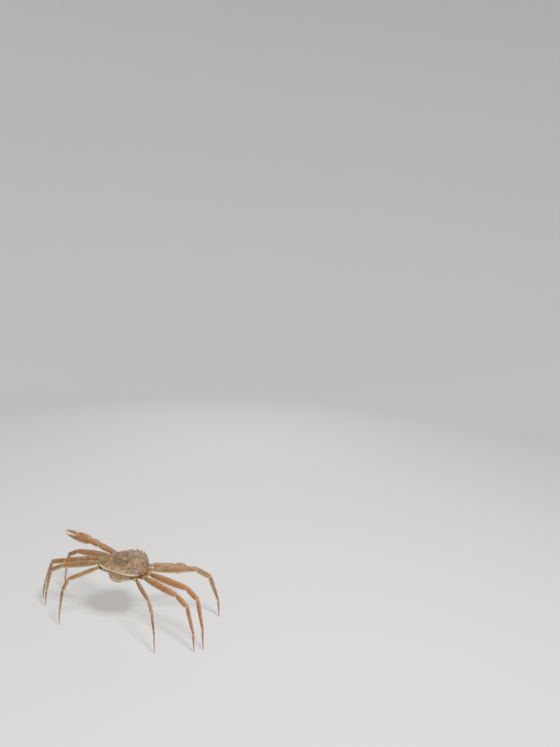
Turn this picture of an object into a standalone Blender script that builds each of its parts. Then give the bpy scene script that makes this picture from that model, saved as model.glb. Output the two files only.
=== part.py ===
"""Snow crab, life size, standing on the tips of its eight walking legs.

Every hard plate that a person would name is a closed solid of its own: carapace, thorax, abdomen,
eyes, antennae, outer mouthparts, and the pieces of each leg and claw. Sizes are in millimetres and
are turned to metres where a mesh is made. The head looks along -Y and the crab's left is +X.
Inside the body's own frame a place is (left, forward, up) from the middle of the carapace at the
height of the leg roots.
"""
from math import asin, atan2, cos, pi, radians, sin

import bmesh
import bpy
import numpy as np
from mathutils import Vector
from mathutils.bvhtree import BVHTree

MM = 0.001
GAP = 0.3
# Gap where a round root sits on a faceted wall, which bulges a little between the root's corners
SEAT_GAP = 0.7
# How far the root ring of an eye or antenna may reach back into a notch
SEAT_DEPTH = 1.6

# Stance
STAND_HEIGHT = 135.0
BODY_ROLL = 6.0
LEG_TWIST = 62.0
FOOT_FLAT = 2.3
# Upward bow of the middle of each merus and dactylus
LEG_BOW = 1.4

# Body
UNDERSIDE = 3.0
MARGIN_HEIGHT = 7.0
MARGIN_RISE = 7.0
THORAX_DEPTH = 20.0
HUB = (0.0, -4.0)

# Half of the carapace outline as (left, forward), from the middle of the rear edge to the notch
# between the two horns of the rostrum
CARAPACE_HALF = (
    (0.0, -60.0), (11.0, -59.7), (22.0, -58.0), (33.0, -54.6), (43.5, -49.0), (52.5, -41.0),
    (59.0, -31.0), (62.2, -20.0), (62.0, -9.0), (58.6, 2.5), (53.0, 14.0), (46.4, 25.0),
    (39.8, 34.0), (33.0, 42.0), (28.0, 46.8), (24.2, 52.4), (20.6, 48.4), (16.8, 45.6),
    (12.8, 48.6), (9.8, 53.2), (7.4, 58.0), (5.0, 63.0), (2.6, 58.6), (0.0, 55.4),
)
# Height of the back's ridge by forward place
RIDGE = (
    (-60.0, 15.5), (-46.0, 22.5), (-20.0, 26.0), (8.0, 26.5), (34.0, 21.5), (50.0, 17.5), (63.0, 15.0),
)
# Swellings of the back: left, forward, reach across, reach along, height
SWELLINGS = (
    (0.0, 20.0, 13.0, 14.0, 2.6),
    (0.0, -24.0, 10.0, 11.0, 3.2),
    (32.0, -16.0, 17.0, 22.0, 3.4),
    (14.0, -47.0, 9.0, 6.0, 1.2),
    (27.0, 30.0, 7.0, 8.0, 1.4),
)
# Wall under the margin, from the underside up: inset, further inset at the front, share of the drop
WALL_RINGS = ((0.1, 0.09, 1.0), (0.042, 0.05, 0.82), (0.006, 0.014, 0.38))
DOME_RINGS = (0.93, 0.83, 0.71, 0.58, 0.44, 0.3, 0.15)
# The outline is smoothed this often for the inner rings, and this fast as the rings shrink
OUTLINE_SMOOTHINGS = 10
SMOOTHING_RATE = 2.4

THORAX_HALF = (
    (0.0, -51.0), (10.0, -50.0), (20.5, -45.5), (31.0, -35.5), (37.3, -22.0), (38.8, -8.0),
    (36.6, 6.0), (31.2, 20.0), (25.6, 31.0), (20.0, 38.5), (12.0, 44.0), (0.0, 45.5),
)
# Height and scale of the thorax's levels
THORAX_LEVELS = ((UNDERSIDE - GAP, 1.0), (-6.0, 1.0), (-13.0, 0.97), (-17.5, 0.88), (-THORAX_DEPTH, 0.7))

# Each limb pair: socket on the thorax, root of the merus, lengths of the four outer pieces, girth
SOCKET_HEIGHT = -6.5
LIMBS = {
    1: dict(socket=(31.0, 20.0), root=(52.0, 34.0), lengths=(62.0, 30.0, 46.0, 42.0), girth=0.82),
    2: dict(socket=(36.5, 6.5), root=(65.0, 16.0), lengths=(104.0, 40.0, 66.0, 45.0), girth=1.0),
    3: dict(socket=(38.8, -8.0), root=(70.0, -6.0), lengths=(108.0, 41.0, 68.0, 47.0), girth=1.0),
    4: dict(socket=(37.3, -22.0), root=(67.0, -27.0), lengths=(100.0, 38.0, 62.0, 43.0), girth=0.95),
    5: dict(socket=(31.6, -34.5), root=(52.0, -42.5), lengths=(74.0, 30.0, 52.0, 40.0), girth=0.72),
}
LIMB_NAMES = {1: "claw_arm", 2: "leg_1", 3: "leg_2", 4: "leg_3", 5: "leg_4"}
SIDES = {"left": 1, "right": -1}

# Stance of each walking leg in degrees: heading of the merus (forward is positive), its pitch,
# heading of the propodus, bend from carpus to propodus, bend from propodus to dactylus
STANCE = {
    ("left", 2): (9.0, -8.0, 14.0, -46.0, -16.0),
    ("left", 3): (-2.0, -12.0, 2.0, -52.0, -12.0),
    ("left", 4): (-4.0, -13.0, -6.0, -50.0, -10.0),
    ("left", 5): (-34.0, -18.0, -30.0, -20.0, -6.0),
    ("right", 2): (24.0, 0.0, 20.0, -40.0, -16.0),
    ("right", 3): (-9.0, -3.0, -38.0, -48.0, -18.0),
    ("right", 4): (-13.0, -7.5, -26.0, -44.0, -18.0),
    ("right", 5): (-36.0, -14.0, -40.0, -26.0, -12.0),
}
# Heading and pitch of the claw arms' merus, carpus and hand
REACH = {
    "left": ((14.0, 6.0), (14.0, 6.0), (2.0, 5.0)),
    "right": ((38.0, -12.0), (78.0, -24.0), (146.0, -30.0)),
}

# Girths along each piece: place from 0 to 1, width, thickness
MERUS = (
    (0.0, 10.4, 7.6), (0.1, 12.6, 8.8), (0.35, 15.6, 9.6), (0.7, 15.0, 9.4), (0.93, 12.8, 9.0),
    (1.0, 11.2, 8.4),
)
CARPUS = ((0.0, 10.6, 8.2), (0.2, 12.4, 9.2), (0.6, 12.8, 9.6), (0.9, 12.0, 9.4), (1.0, 10.4, 8.4))
PROPODUS = ((0.0, 9.4, 7.4), (0.15, 10.8, 8.2), (0.5, 9.8, 7.4), (0.9, 7.4, 6.0), (1.0, 6.8, 5.6))
DACTYLUS = ((0.0, 6.0, 5.0), (0.12, 6.6, 5.4), (0.4, 5.6, 4.6), (0.75, 3.8, 3.3), (1.0, FOOT_FLAT, FOOT_FLAT))
COXA = ((0.0, 12.0, 12.8), (0.3, 12.0, 12.4), (0.5, 10.4, 11.0), (0.85, 11.4, 10.6), (1.0, 10.4, 9.2))
ARM_MERUS = ((0.0, 10.5, 11.0), (0.15, 12.5, 13.0), (0.5, 14.5, 15.0), (0.88, 15.5, 15.5), (1.0, 12.5, 12.5))
ARM_CARPUS = ((0.0, 12.5, 12.5), (0.25, 16.5, 16.5), (0.65, 18.0, 17.5), (0.9, 15.5, 15.5), (1.0, 12.5, 12.5))
# Hand: place in mm, middle's height, half height, half thickness
HAND = ((0.0, 0.0, 6.4, 5.6), (5.0, 0.0, 9.6, 7.4), (16.0, 0.2, 13.0, 9.2), (30.0, 0.2, 14.0, 9.6),
        (42.0, 0.0, 13.4, 8.8), (46.0, 0.0, 12.4, 8.0))
FIXED_FINGER = ((47.2, -6.4, 5.9, 5.4), (56.0, -6.2, 5.0, 4.6), (68.0, -5.0, 3.7, 3.4),
                (80.0, -3.2, 2.4, 2.2), (88.0, -1.5, 1.1, 1.0))
MOVING_FINGER = ((47.9, 6.4, 5.6, 5.2), (52.0, 7.0, 5.7, 5.0), (62.0, 8.4, 4.9, 4.2), (74.0, 8.2, 3.6, 3.2),
                 (84.0, 6.7, 2.1, 1.9), (88.6, 5.6, 1.0, 1.0))
# Teeth along the two cutting edges: place along the hand, height, radius
TEETH = ((55.0, 1.5, 1.7), (61.0, 1.9, 1.8), (67.0, 1.5, 1.5), (73.0, 1.2, 1.3), (79.0, 1.0, 1.0))

# Eyes, antennae, mouthparts and abdomen
EYE_CENTRE = (17.6, 51.2, 13.0)
EYE_ROOT = (15.6, 43.0, 9.6)
EYE_PROFILE = ((0.0, 4.4), (0.52, 4.2), (0.62, 4.6), (0.74, 6.4), (0.88, 6.6), (0.965, 4.8), (1.0, 2.2))
EYE_REACH = 3.4
ANTENNA_ROUTE = ((9.4, 42.0, 7.6), (10.6, 56.2, 10.6), (12.0, 62.0, 13.2), (14.8, 68.4, 15.8),
                 (18.6, 74.0, 17.6))
ANTENNA_GIRTH = ((0.0, 3.2), (0.28, 3.4), (0.4, 2.0), (0.7, 1.2), (1.0, 0.7))
JAW_INNER = 0.5
JAW_THICKNESS = 2.6
# How far each row of a mouth plate at the thorax's levels leans from facing forwards, and its outer edge
JAW_LEANS = (0.0, 5.0, 30.0, 56.0)
JAW_OUTER = (14.5, 16.0, 15.5, 13.0)
# Abdomen: how far each row at the thorax's levels leans from facing rearwards, and its half width
ABDOMEN_LEANS = (0.0, 5.0, 30.0, 58.0, 80.0)
ABDOMEN_HALF = (17.0, 16.0, 14.6, 13.2, 11.6)
ABDOMEN_UNDER = ((-24.0, 10.2), (-12.0, 8.6), (0.0, 6.6), (9.0, 4.4), (15.0, 2.0))
ABDOMEN_THICKNESS = 2.8

# Small forms that stand on the plates: root sunk below the surface, and its widening there
SINK = 0.9
ROOT_WIDENING = 1.25
# Ring between root and tip: share of the height, share of the radius
CONE_WAIST = (0.55, 0.6)
# Tubercles of the back: how many are tried, least distance apart, height and radius of the largest
TUBERCLE_TRIES = 900
TUBERCLE_SPACING = 8.4
TUBERCLE_HEIGHT = 1.7
TUBERCLE_RADIUS = 1.5
TUBERCLE_SEED = 11
# Share by which the tubercles shrink away from the swellings
TUBERCLE_SPREAD = 0.4
# Spines of the carapace's margin: corners of the outline that carry them, height and radius
MARGIN_CORNERS = (7, 8, 9, 10, 11, 12, 13)
MARGIN_SPINE = (2.4, 1.5)
# Spines of the walking legs' merus: places along each edge, height and radius
MERUS_ROW = (0.12, 0.27, 0.42, 0.57, 0.72, 0.87)
MERUS_SPINE = (1.5, 0.95)
CARPUS_ROW = (0.3, 0.55, 0.8)
LEG_ROWS = {"merus": MERUS_ROW, "carpus": CARPUS_ROW}
# Spines of the claw arms: places along each row, directions round the piece in degrees, height and radius
ARM_ROW = (0.2, 0.4, 0.6, 0.8)
ARM_TURNS = (20.0, 90.0, 200.0)
ARM_SPINE = (2.2, 1.2)

COLOURS = {
    "carapace": ((0.40, 0.25, 0.12, 1.0), 0.55),
    "thorax": ((0.72, 0.60, 0.42, 1.0), 0.5),
    "leg": ((0.46, 0.27, 0.12, 1.0), 0.5),
    "dactylus": ((0.50, 0.26, 0.10, 1.0), 0.45),
    "claw": ((0.55, 0.33, 0.17, 1.0), 0.5),
    "eye": ((0.02, 0.02, 0.02, 1.0), 0.15),
    "feeler": ((0.50, 0.34, 0.18, 1.0), 0.5),
}


def clear_scene():
    for thing in list(bpy.data.objects):
        bpy.data.objects.remove(thing, do_unlink=True)


def body(place):
    """A place in the body's frame, rolled and lifted to where the body stands."""
    left, forward, up = place
    roll = radians(BODY_ROLL)
    return np.array([
        left * cos(roll) - up * sin(roll),
        -forward,
        STAND_HEIGHT + up * cos(roll) + left * sin(roll),
    ])


def shell_material(name, kind):
    colour, roughness = COLOURS[kind]
    material = bpy.data.materials.new(name)
    material.use_nodes = True
    shader = material.node_tree.nodes["Principled BSDF"]
    shader.inputs["Base Color"].default_value = colour
    shader.inputs["Roughness"].default_value = roughness
    shader.inputs["Metallic"].default_value = 0.0
    return material


def mesh_object(name, points, faces, kind, origin):
    """A closed solid from points in mm, with its own origin at the given place."""
    origin = np.asarray(origin, float)
    mesh = bpy.data.meshes.new(name)
    mesh.from_pydata([tuple((p - origin) * MM) for p in points], [], faces)
    shape = bmesh.new()
    shape.from_mesh(mesh)
    bmesh.ops.triangulate(shape, faces=shape.faces[:])
    bmesh.ops.recalc_face_normals(shape, faces=shape.faces[:])
    shape.to_mesh(mesh)
    shape.free()
    mesh.materials.append(shell_material(name, kind))
    mesh.shade_smooth()
    mesh.set_sharp_from_angle(angle=radians(40.0))
    thing = bpy.data.objects.new(name, mesh)
    thing.location = Vector(origin * MM)
    bpy.context.scene.collection.objects.link(thing)
    return thing


def stack(rings, root_centre=None, tip_centre=None):
    """Points and faces of a tube through like rings, with a flat cap, or a fan to a centre, at each end."""
    count = len(rings[0])
    points = [p for ring in rings for p in ring]
    faces = []
    for row in range(len(rings) - 1):
        for k in range(count):
            a = row * count + k
            b = row * count + (k + 1) % count
            faces.append((a, b, b + count, a + count))
    for first, centre in ((0, root_centre), ((len(rings) - 1) * count, tip_centre)):
        loop = [first + k for k in range(count)]
        if centre is None:
            faces.append(tuple(loop))
            continue
        points.append(np.asarray(centre, float))
        hub = len(points) - 1
        for k in range(count):
            faces.append((loop[k], loop[(k + 1) % count], hub))
    return points, faces


def surface_tree(thing):
    """Search tree of an object's surface, in mm in world space."""
    place = np.array(thing.location)
    corners = [tuple((np.array(v.co) + place) / MM) for v in thing.data.vertices]
    return BVHTree.FromPolygons(corners, [tuple(p.vertices) for p in thing.data.polygons])


def seat(point, direction, tree, gap, start=25.0):
    """The point on a surface's near side, a gap short of it, met along a direction."""
    direction = Vector(direction).normalized()
    origin = Vector(point) - direction * start
    hit = tree.ray_cast(origin, direction, 120.0)[0]
    if hit is None:
        raise ValueError("nothing to seat on at %s" % (tuple(point),))
    return np.array(hit - direction * gap)


def aim(side, heading, pitch):
    """Unit direction of a limb piece from its heading and pitch in radians."""
    return np.array([side * cos(heading) * cos(pitch), -sin(heading) * cos(pitch), sin(pitch)])


def cross_axes(side, heading, pitch, twist):
    """Width and thickness directions of a limb piece, turned about its length by the twist."""
    ahead = np.array([-side * sin(heading), -cos(heading), 0.0])
    upward = np.array([-side * cos(heading) * sin(pitch), sin(heading) * sin(pitch), cos(pitch)])
    return ahead * cos(twist) + upward * sin(twist), upward * cos(twist) - ahead * sin(twist)


def girth_at(profile, place):
    """Width and thickness at a place along a piece."""
    table = np.array(profile)
    return np.interp(place, table[:, 0], table[:, 1]), np.interp(place, table[:, 0], table[:, 2])


def mitred_rings(start, end, start_plane, end_plane, axes, profile, scale, sides, bow=0.0):
    """Rings of a straight piece whose two end rings lie in the joint planes, half a gap inside them."""
    start = np.asarray(start, float)
    length = np.linalg.norm(end - start)
    along = (end - start) / length
    wide, thick = axes
    fade = min(14.0, 0.45 * length)
    turn = np.arange(sides) * 2.0 * pi / sides
    rings = []
    for place in sorted({row[0] for row in profile}):
        width, depth = girth_at(profile, place)
        width *= scale
        depth *= scale
        middle = start + along * length * place + thick * bow * 4.0 * place * (1.0 - place)
        offset = np.outer(np.cos(turn) * width / 2.0, wide) + np.outer(np.sin(turn) * depth / 2.0, thick)
        ring = middle + offset
        ends = ((start_plane, 1.0, place * length), (end_plane, -1.0, (1.0 - place) * length))
        for plane, sign, distance in ends:
            if plane is None:
                continue
            share = max(0.0, 1.0 - distance / fade)
            share = share * share * (3.0 - 2.0 * share)
            lean = (-(offset @ plane) + sign * GAP / 2.0) / (along @ plane)
            ring = ring + np.outer(lean * share, along)
        rings.append(ring)
    return rings


def joint_plane(before, after):
    """Normal of the plane that halves the angle between two pieces."""
    total = np.asarray(before) + np.asarray(after)
    return total / np.linalg.norm(total)


def heading_and_pitch(side, direction):
    return atan2(-direction[1], side * direction[0]), asin(max(-1.0, min(1.0, direction[2])))


def leg_points(side_name, number):
    """Joints of a walking leg from the merus root to the foot, with each piece's heading and pitch.

    The carpus pitch is found by halving, so that the foot comes down at floor level.
    """
    side = SIDES[side_name]
    limb = LIMBS[number]
    stance = [radians(angle) for angle in STANCE[side_name, number]]
    merus_heading, merus_pitch, outer_heading, bend_one, bend_two = stance
    middle_heading = (merus_heading + outer_heading) / 2.0
    root = body((side * limb["root"][0], limb["root"][1], 0.0))

    def chain(carpus_pitch):
        turns = (
            (merus_heading, merus_pitch),
            (middle_heading, carpus_pitch),
            (outer_heading, carpus_pitch + bend_one),
            (outer_heading, carpus_pitch + bend_one + bend_two),
        )
        joints = [root]
        for length, (heading, pitch) in zip(limb["lengths"], turns):
            joints.append(joints[-1] + length * aim(side, heading, pitch))
        return joints, turns

    low = radians(-90.0) - bend_one
    high = radians(40.0)
    for _ in range(60):
        middle = (low + high) / 2.0
        if chain(middle)[0][-1][2] > 0.0:
            high = middle
        else:
            low = middle
    joints, turns = chain(low)
    if abs(joints[-1][2]) > 0.01:
        raise ValueError("the %s leg %d does not reach the floor" % (side_name, number))
    return joints, turns


def arm_points(side_name):
    """Joints of a claw arm from the merus root to the finger tips, with each piece's heading and pitch."""
    side = SIDES[side_name]
    limb = LIMBS[1]
    turns = [(radians(heading), radians(pitch)) for heading, pitch in REACH[side_name]]
    joints = [body((side * limb["root"][0], limb["root"][1], 0.0))]
    for length, (heading, pitch) in zip(limb["lengths"], turns):
        joints.append(joints[-1] + length * aim(side, heading, pitch))
    return joints, turns


def carapace_loop(scale):
    """The outline shrunk towards the hub, its horns and notches smoothed away on the way in."""
    half = np.array(CARAPACE_HALF)
    loop = np.vstack([half, half[-2:0:-1] * (-1.0, 1.0)])
    smooth = loop
    for _ in range(OUTLINE_SMOOTHINGS):
        smooth = (np.roll(smooth, 1, axis=0) + 2.0 * smooth + np.roll(smooth, -1, axis=0)) / 4.0
    share = min(1.0, SMOOTHING_RATE * (1.0 - scale))
    return np.array(HUB) + (loop + (smooth - loop) * share - HUB) * scale


def margin_height(loop):
    """Height of the margin: lowest at the sides and higher at the front and rear."""
    away = loop - HUB
    share = np.abs(away[:, 1]) / np.hypot(away[:, 0], away[:, 1])
    return MARGIN_HEIGHT + MARGIN_RISE * share ** 2.5


def back_height(loop, scale):
    """Height of the back over a loop that is scaled from the outline towards the hub."""
    ridge = np.array(RIDGE)
    edge = margin_height(loop)
    crown = np.interp(loop[:, 1], ridge[:, 0], ridge[:, 1])
    height = edge + (crown - edge) * (1.0 - scale ** 2.4) ** 0.62
    for left, forward, across, along, rise in SWELLINGS:
        for sign in ((1.0,) if left == 0.0 else (1.0, -1.0)):
            spread = ((loop[:, 0] - sign * left) / across) ** 2 + ((loop[:, 1] - forward) / along) ** 2
            height = height + rise * np.exp(-spread) * (1.0 - scale ** 3)
    return height


def cone(foot, outward, height, radius, sides):
    """A small closed cone on a surface, with its root sunk below the foot."""
    outward = np.asarray(outward, float) / np.linalg.norm(outward)
    across = np.cross(outward, (0.31, 0.22, 0.93))
    across /= np.linalg.norm(across)
    other = np.cross(outward, across)
    turn = np.arange(sides) * 2.0 * pi / sides
    circle = np.outer(np.cos(turn), across) + np.outer(np.sin(turn), other)
    rings = [
        foot - outward * SINK + circle * radius * ROOT_WIDENING,
        foot + outward * height * CONE_WAIST[0] + circle * radius * CONE_WAIST[1],
    ]
    return stack(rings, None, foot + outward * height)


def fuse(thing, cones):
    """Join small closed cones to a solid, and keep the largest closed surface."""
    group = bpy.data.collections.new(thing.name + "_cones")
    bpy.context.scene.collection.children.link(group)
    for points, faces in cones:
        mesh = bpy.data.meshes.new("cone")
        mesh.from_pydata([tuple(p * MM) for p in points], [], faces)
        shape = bmesh.new()
        shape.from_mesh(mesh)
        bmesh.ops.recalc_face_normals(shape, faces=shape.faces[:])
        shape.to_mesh(mesh)
        shape.free()
        group.objects.link(bpy.data.objects.new("cone", mesh))
    union = thing.modifiers.new("fuse", "BOOLEAN")
    union.operation = "UNION"
    union.operand_type = "COLLECTION"
    union.collection = group
    union.solver = "EXACT"
    bpy.context.view_layer.update()
    joined = bpy.data.meshes.new_from_object(thing.evaluated_get(bpy.context.evaluated_depsgraph_get()))
    thing.modifiers.clear()
    joined.name = thing.name
    thing.data = joined
    for piece in list(group.objects):
        bpy.data.objects.remove(piece, do_unlink=True)
    bpy.data.collections.remove(group)
    keep_largest(thing)


def keep_largest(thing):
    """Delete all but the largest connected surface of a solid."""
    shape = bmesh.new()
    shape.from_mesh(thing.data)
    left = set(shape.faces)
    largest = set()
    while left:
        edge_of_search = [left.pop()]
        island = set(edge_of_search)
        while edge_of_search:
            face = edge_of_search.pop()
            for edge in face.edges:
                for other in edge.link_faces:
                    if other in left:
                        left.remove(other)
                        island.add(other)
                        edge_of_search.append(other)
        if len(island) > len(largest):
            largest = island
    bmesh.ops.delete(shape, geom=[f for f in shape.faces if f not in largest], context="FACES")
    bmesh.ops.triangulate(shape, faces=shape.faces[:])
    shape.to_mesh(thing.data)
    shape.free()
    thing.data.shade_smooth()
    thing.data.set_sharp_from_angle(angle=radians(40.0))


def carapace_cones(tree):
    """Tubercles spread over the back, largest on its swellings, and spines along the margin."""
    draw = np.random.default_rng(TUBERCLE_SEED)
    half = np.array(CARAPACE_HALF)
    feet = []
    cones = []
    for left, forward in draw.uniform((-60.0, -56.0), (60.0, 45.0), (TUBERCLE_TRIES, 2)):
        edge = np.interp(forward, half[:15, 1], half[:15, 0])
        if abs(left) > 0.9 * edge:
            continue
        if any(np.hypot(left - a, forward - b) < TUBERCLE_SPACING for a, b in feet):
            continue
        feet.append((left, forward))
        swell = sum(
            np.exp(-((abs(left) - a) / c) ** 2 - ((forward - b) / d) ** 2) for a, b, c, d, _ in SWELLINGS)
        size = 1.0 - TUBERCLE_SPREAD * (1.0 - min(1.0, swell))
        foot = seat(body((left, forward, 30.0)), body_direction((0.0, 0.0, -1.0)), tree, 0.0)
        outward = body_direction((left / 90.0, forward / 120.0, 1.0))
        cones.append(cone(foot, outward, TUBERCLE_HEIGHT * size, TUBERCLE_RADIUS * size, 5))
    height, radius = MARGIN_SPINE
    margin = carapace_loop(1.0)
    heights = margin_height(margin)
    for sign in (1.0, -1.0):
        for corner in MARGIN_CORNERS:
            away = (margin[corner] - HUB) * (sign, 1.0)
            foot = body((sign * margin[corner][0], margin[corner][1], heights[corner]))
            outward = body_direction((away[0], away[1], 0.12 * np.hypot(*away)))
            cones.append(cone(foot - outward / np.linalg.norm(outward) * 0.4, outward, height, radius, 5))
    return cones


def carapace():
    """Domed shell: rings shrink from the margin to the hub above, and turn in to a flat underside."""
    margin = carapace_loop(1.0)
    edge = margin_height(margin)
    front = np.clip((margin[:, 1] - 20.0) / 40.0, 0.0, 1.0)
    rings = []
    for inset, overhang, drop in WALL_RINGS:
        loop = np.array(HUB) + (margin - HUB) * (1.0 - inset - overhang * front)[:, None]
        rings.append(np.column_stack([loop, edge + (UNDERSIDE - edge) * drop]))
    rings.append(np.column_stack([margin, edge]))
    for scale in DOME_RINGS:
        loop = carapace_loop(scale)
        rings.append(np.column_stack([loop, back_height(loop, scale)]))
    hub = np.array([HUB])
    top = (HUB[0], HUB[1], float(back_height(hub + (0.0, 1e-6), 0.0)[0]))
    points, faces = stack(rings, None, top)
    shell = mesh_object("carapace", [body(p) for p in points], faces, "carapace", (0.0, 0.0, 0.0))
    fuse(shell, carapace_cones(surface_tree(shell)))
    return shell


def thorax():
    """Solid under the carapace that carries the legs: levels of one outline, closing in below."""
    half = np.array(THORAX_HALF)
    loop = np.vstack([half, half[-2:0:-1] * (-1.0, 1.0)])
    rings = []
    for height, scale in THORAX_LEVELS:
        level = np.array(HUB) + (loop - HUB) * scale
        rings.append(np.column_stack([level, np.full(len(loop), height)]))
    points, faces = stack(rings)
    return mesh_object("thorax", [body(p) for p in points], faces, "thorax", body((0.0, 0.0, 0.0)))


def body_direction(direction):
    """A direction in the body's frame, turned to world space."""
    return body(direction) - body((0.0, 0.0, 0.0))


def plate_on(name, rows, directions, tree, thickness, kind):
    """A plate of even thickness that lies on a surface, from rows of points and the way each row faces."""
    inner = []
    outer = []
    for row, direction in zip(rows, directions):
        towards = body_direction(direction)
        towards = towards / np.linalg.norm(towards)
        laid = [seat(body(p), towards, tree, SEAT_GAP) for p in row]
        inner.append(laid)
        outer.append([p - towards * thickness for p in laid])
    count = len(rows[0])
    points = [p for row in inner for p in row] + [p for row in outer for p in row]
    shift = len(rows) * count
    faces = []
    for r in range(len(rows) - 1):
        for k in range(count - 1):
            a = r * count + k
            faces.append((a, a + 1, a + count + 1, a + count))
            faces.append((a + shift, a + count + shift, a + count + 1 + shift, a + 1 + shift))
    edge = list(range(count))
    edge += [r * count + count - 1 for r in range(1, len(rows))]
    edge += [(len(rows) - 1) * count + k for k in range(count - 2, -1, -1)]
    edge += [r * count for r in range(len(rows) - 2, 0, -1)]
    for a, b in zip(edge, edge[1:] + edge[:1]):
        faces.append((a, a + shift, b + shift, b))
    return mesh_object(name, points, faces, kind, points[0])


def abdomen(tree):
    """The narrow tail flap, folded round the rear of the thorax and forward along its underside."""
    rows = []
    directions = []
    spread = np.array((-1.0, -0.6, 0.0, 0.6, 1.0))
    rear = np.array(THORAX_HALF[:3])
    for (height, scale), angle, half in zip(THORAX_LEVELS, ABDOMEN_LEANS, ABDOMEN_HALF):
        lean = radians(angle)
        ridge = rear[1, 0] * scale
        row = []
        for left in (-half, -ridge, 0.0, ridge, half):
            edge = np.interp(abs(left) / scale, rear[:, 0], rear[:, 1])
            row.append((left, HUB[1] + (edge - HUB[1]) * scale, height - GAP))
        rows.append(row)
        directions.append((0.0, cos(lean), sin(lean)))
    for forward, half in ABDOMEN_UNDER:
        rows.append([(half * s, forward, -THORAX_DEPTH) for s in spread])
        directions.append((0.0, 0.0, 1.0))
    return plate_on("abdomen", rows, directions, tree, ABDOMEN_THICKNESS, "thorax")


def mouthpart(side_name, tree):
    """Outer mouthpart: one of the two plates that close the mouth, on the thorax's front."""
    side = SIDES[side_name]
    rows = []
    directions = []
    front = np.array(THORAX_HALF[:-4:-1])
    for (height, scale), angle, outer in zip(THORAX_LEVELS, JAW_LEANS, JAW_OUTER):
        lean = radians(angle)
        row = []
        for left in (JAW_INNER, front[1, 0] * scale, outer):
            edge = np.interp(left / scale, front[:, 0], front[:, 1])
            row.append((side * left, HUB[1] + (edge - HUB[1]) * scale, height - GAP))
        rows.append(row)
        directions.append((0.0, -cos(lean), sin(lean)))
    return plate_on("mouthpart_" + side_name, rows, directions, tree, JAW_THICKNESS, "thorax")


def turned(route, girths, sides, tree, towards):
    """A round piece along a route, with its first ring seated on the surface behind it.

    No point of that ring goes further in than the seat depth behind its foremost one.
    """
    route = np.asarray(route, float)
    rings = []
    for k, (middle, girth) in enumerate(zip(route, girths)):
        before = route[max(k - 1, 0)]
        after = route[min(k + 1, len(route) - 1)]
        along = (after - before) / np.linalg.norm(after - before)
        across = np.cross(along, (0.0, 0.0, 1.0))
        across /= np.linalg.norm(across)
        upward = np.cross(across, along)
        turn = np.arange(sides) * 2.0 * pi / sides
        rings.append(middle + girth / 2.0 * (np.outer(np.cos(turn), across) + np.outer(np.sin(turn), upward)))
    towards = towards / np.linalg.norm(towards)
    seated = np.array([seat(p, towards, tree, GAP) for p in [*rings[0], route[0]]])
    depth = seated @ towards
    seated += np.outer(np.minimum(depth, depth.min() + SEAT_DEPTH) - depth, towards)
    rings[0] = seated[:-1]
    return stack(rings, seated[-1], route[-1])


def eye(side_name, tree):
    """Eye on its short stalk, turned about a line from the orbit outwards."""
    side = SIDES[side_name]
    root = body((side * EYE_ROOT[0], EYE_ROOT[1], EYE_ROOT[2]))
    centre = body((side * EYE_CENTRE[0], EYE_CENTRE[1], EYE_CENTRE[2]))
    along = (centre - root) / np.linalg.norm(centre - root)
    length = np.linalg.norm(centre - root) + EYE_REACH
    route = [root + along * length * place for place, _ in EYE_PROFILE]
    points, faces = turned(route, [girth for _, girth in EYE_PROFILE], 10, tree, -along)
    return mesh_object("eye_" + side_name, points, faces, "eye", centre)


def antenna(side_name, tree):
    """Short feeler between the eye and the rostrum."""
    side = SIDES[side_name]
    route = [body((side * left, forward, up)) for left, forward, up in ANTENNA_ROUTE]
    table = np.array(ANTENNA_GIRTH)
    girths = [np.interp(k / (len(route) - 1.0), table[:, 0], table[:, 1]) for k in range(len(route))]
    towards = route[0] - route[1]
    points, faces = turned(route, girths, 6, tree, towards)
    return mesh_object("antenna_" + side_name, points, faces, "feeler", route[0])


def limb_root(side_name, number, first_direction, tree):
    """Coxa to ischium, from its seat on the thorax to the plane where the merus begins.

    Its own direction is given back.
    """
    side = SIDES[side_name]
    limb = LIMBS[number]
    socket = body((side * limb["socket"][0], limb["socket"][1], SOCKET_HEIGHT))
    root = body((side * limb["root"][0], limb["root"][1], 0.0))
    along = (root - socket) / np.linalg.norm(root - socket)
    heading, pitch = heading_and_pitch(side, along)
    axes = cross_axes(side, heading, pitch, 0.0)
    plane = joint_plane(along, first_direction)
    scale = limb["girth"] ** 0.5
    rings = mitred_rings(socket, root, None, plane, axes, COXA, scale, 10)
    rings[0] = np.array([seat(p, -along, tree, SEAT_GAP) for p in rings[0]])
    points, faces = stack(rings, seat(socket, -along, tree, SEAT_GAP))
    mesh_object("%s_%s_root" % (LIMB_NAMES[number], side_name), points, faces, "leg", socket)
    return along


def row_of_cones(start, end, axes, places, turns, height, radius, tree):
    """Spines in rows along a piece, leaning a little towards its outer end."""
    along = (end - start) / np.linalg.norm(end - start)
    cones = []
    for turn in turns:
        away = axes[0] * cos(radians(turn)) + axes[1] * sin(radians(turn))
        for place in places:
            foot = seat(start + (end - start) * place, -away, tree, 0.0)
            cones.append(cone(foot, away + 0.35 * along, height, radius, 4))
    return cones


def teeth(joint, way, axes, profile, facing):
    """Blunt teeth along a finger's cutting edge."""
    table = np.array(profile)
    cones = []
    for place, height, radius in TEETH:
        rise, half_height = (np.interp(place, table[:, 0], table[:, k]) for k in (1, 2))
        foot = joint + way * place + axes[1] * (rise + facing * half_height * 0.98)
        cones.append(cone(foot, axes[1] * facing, height, radius, 5))
    return cones


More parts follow.
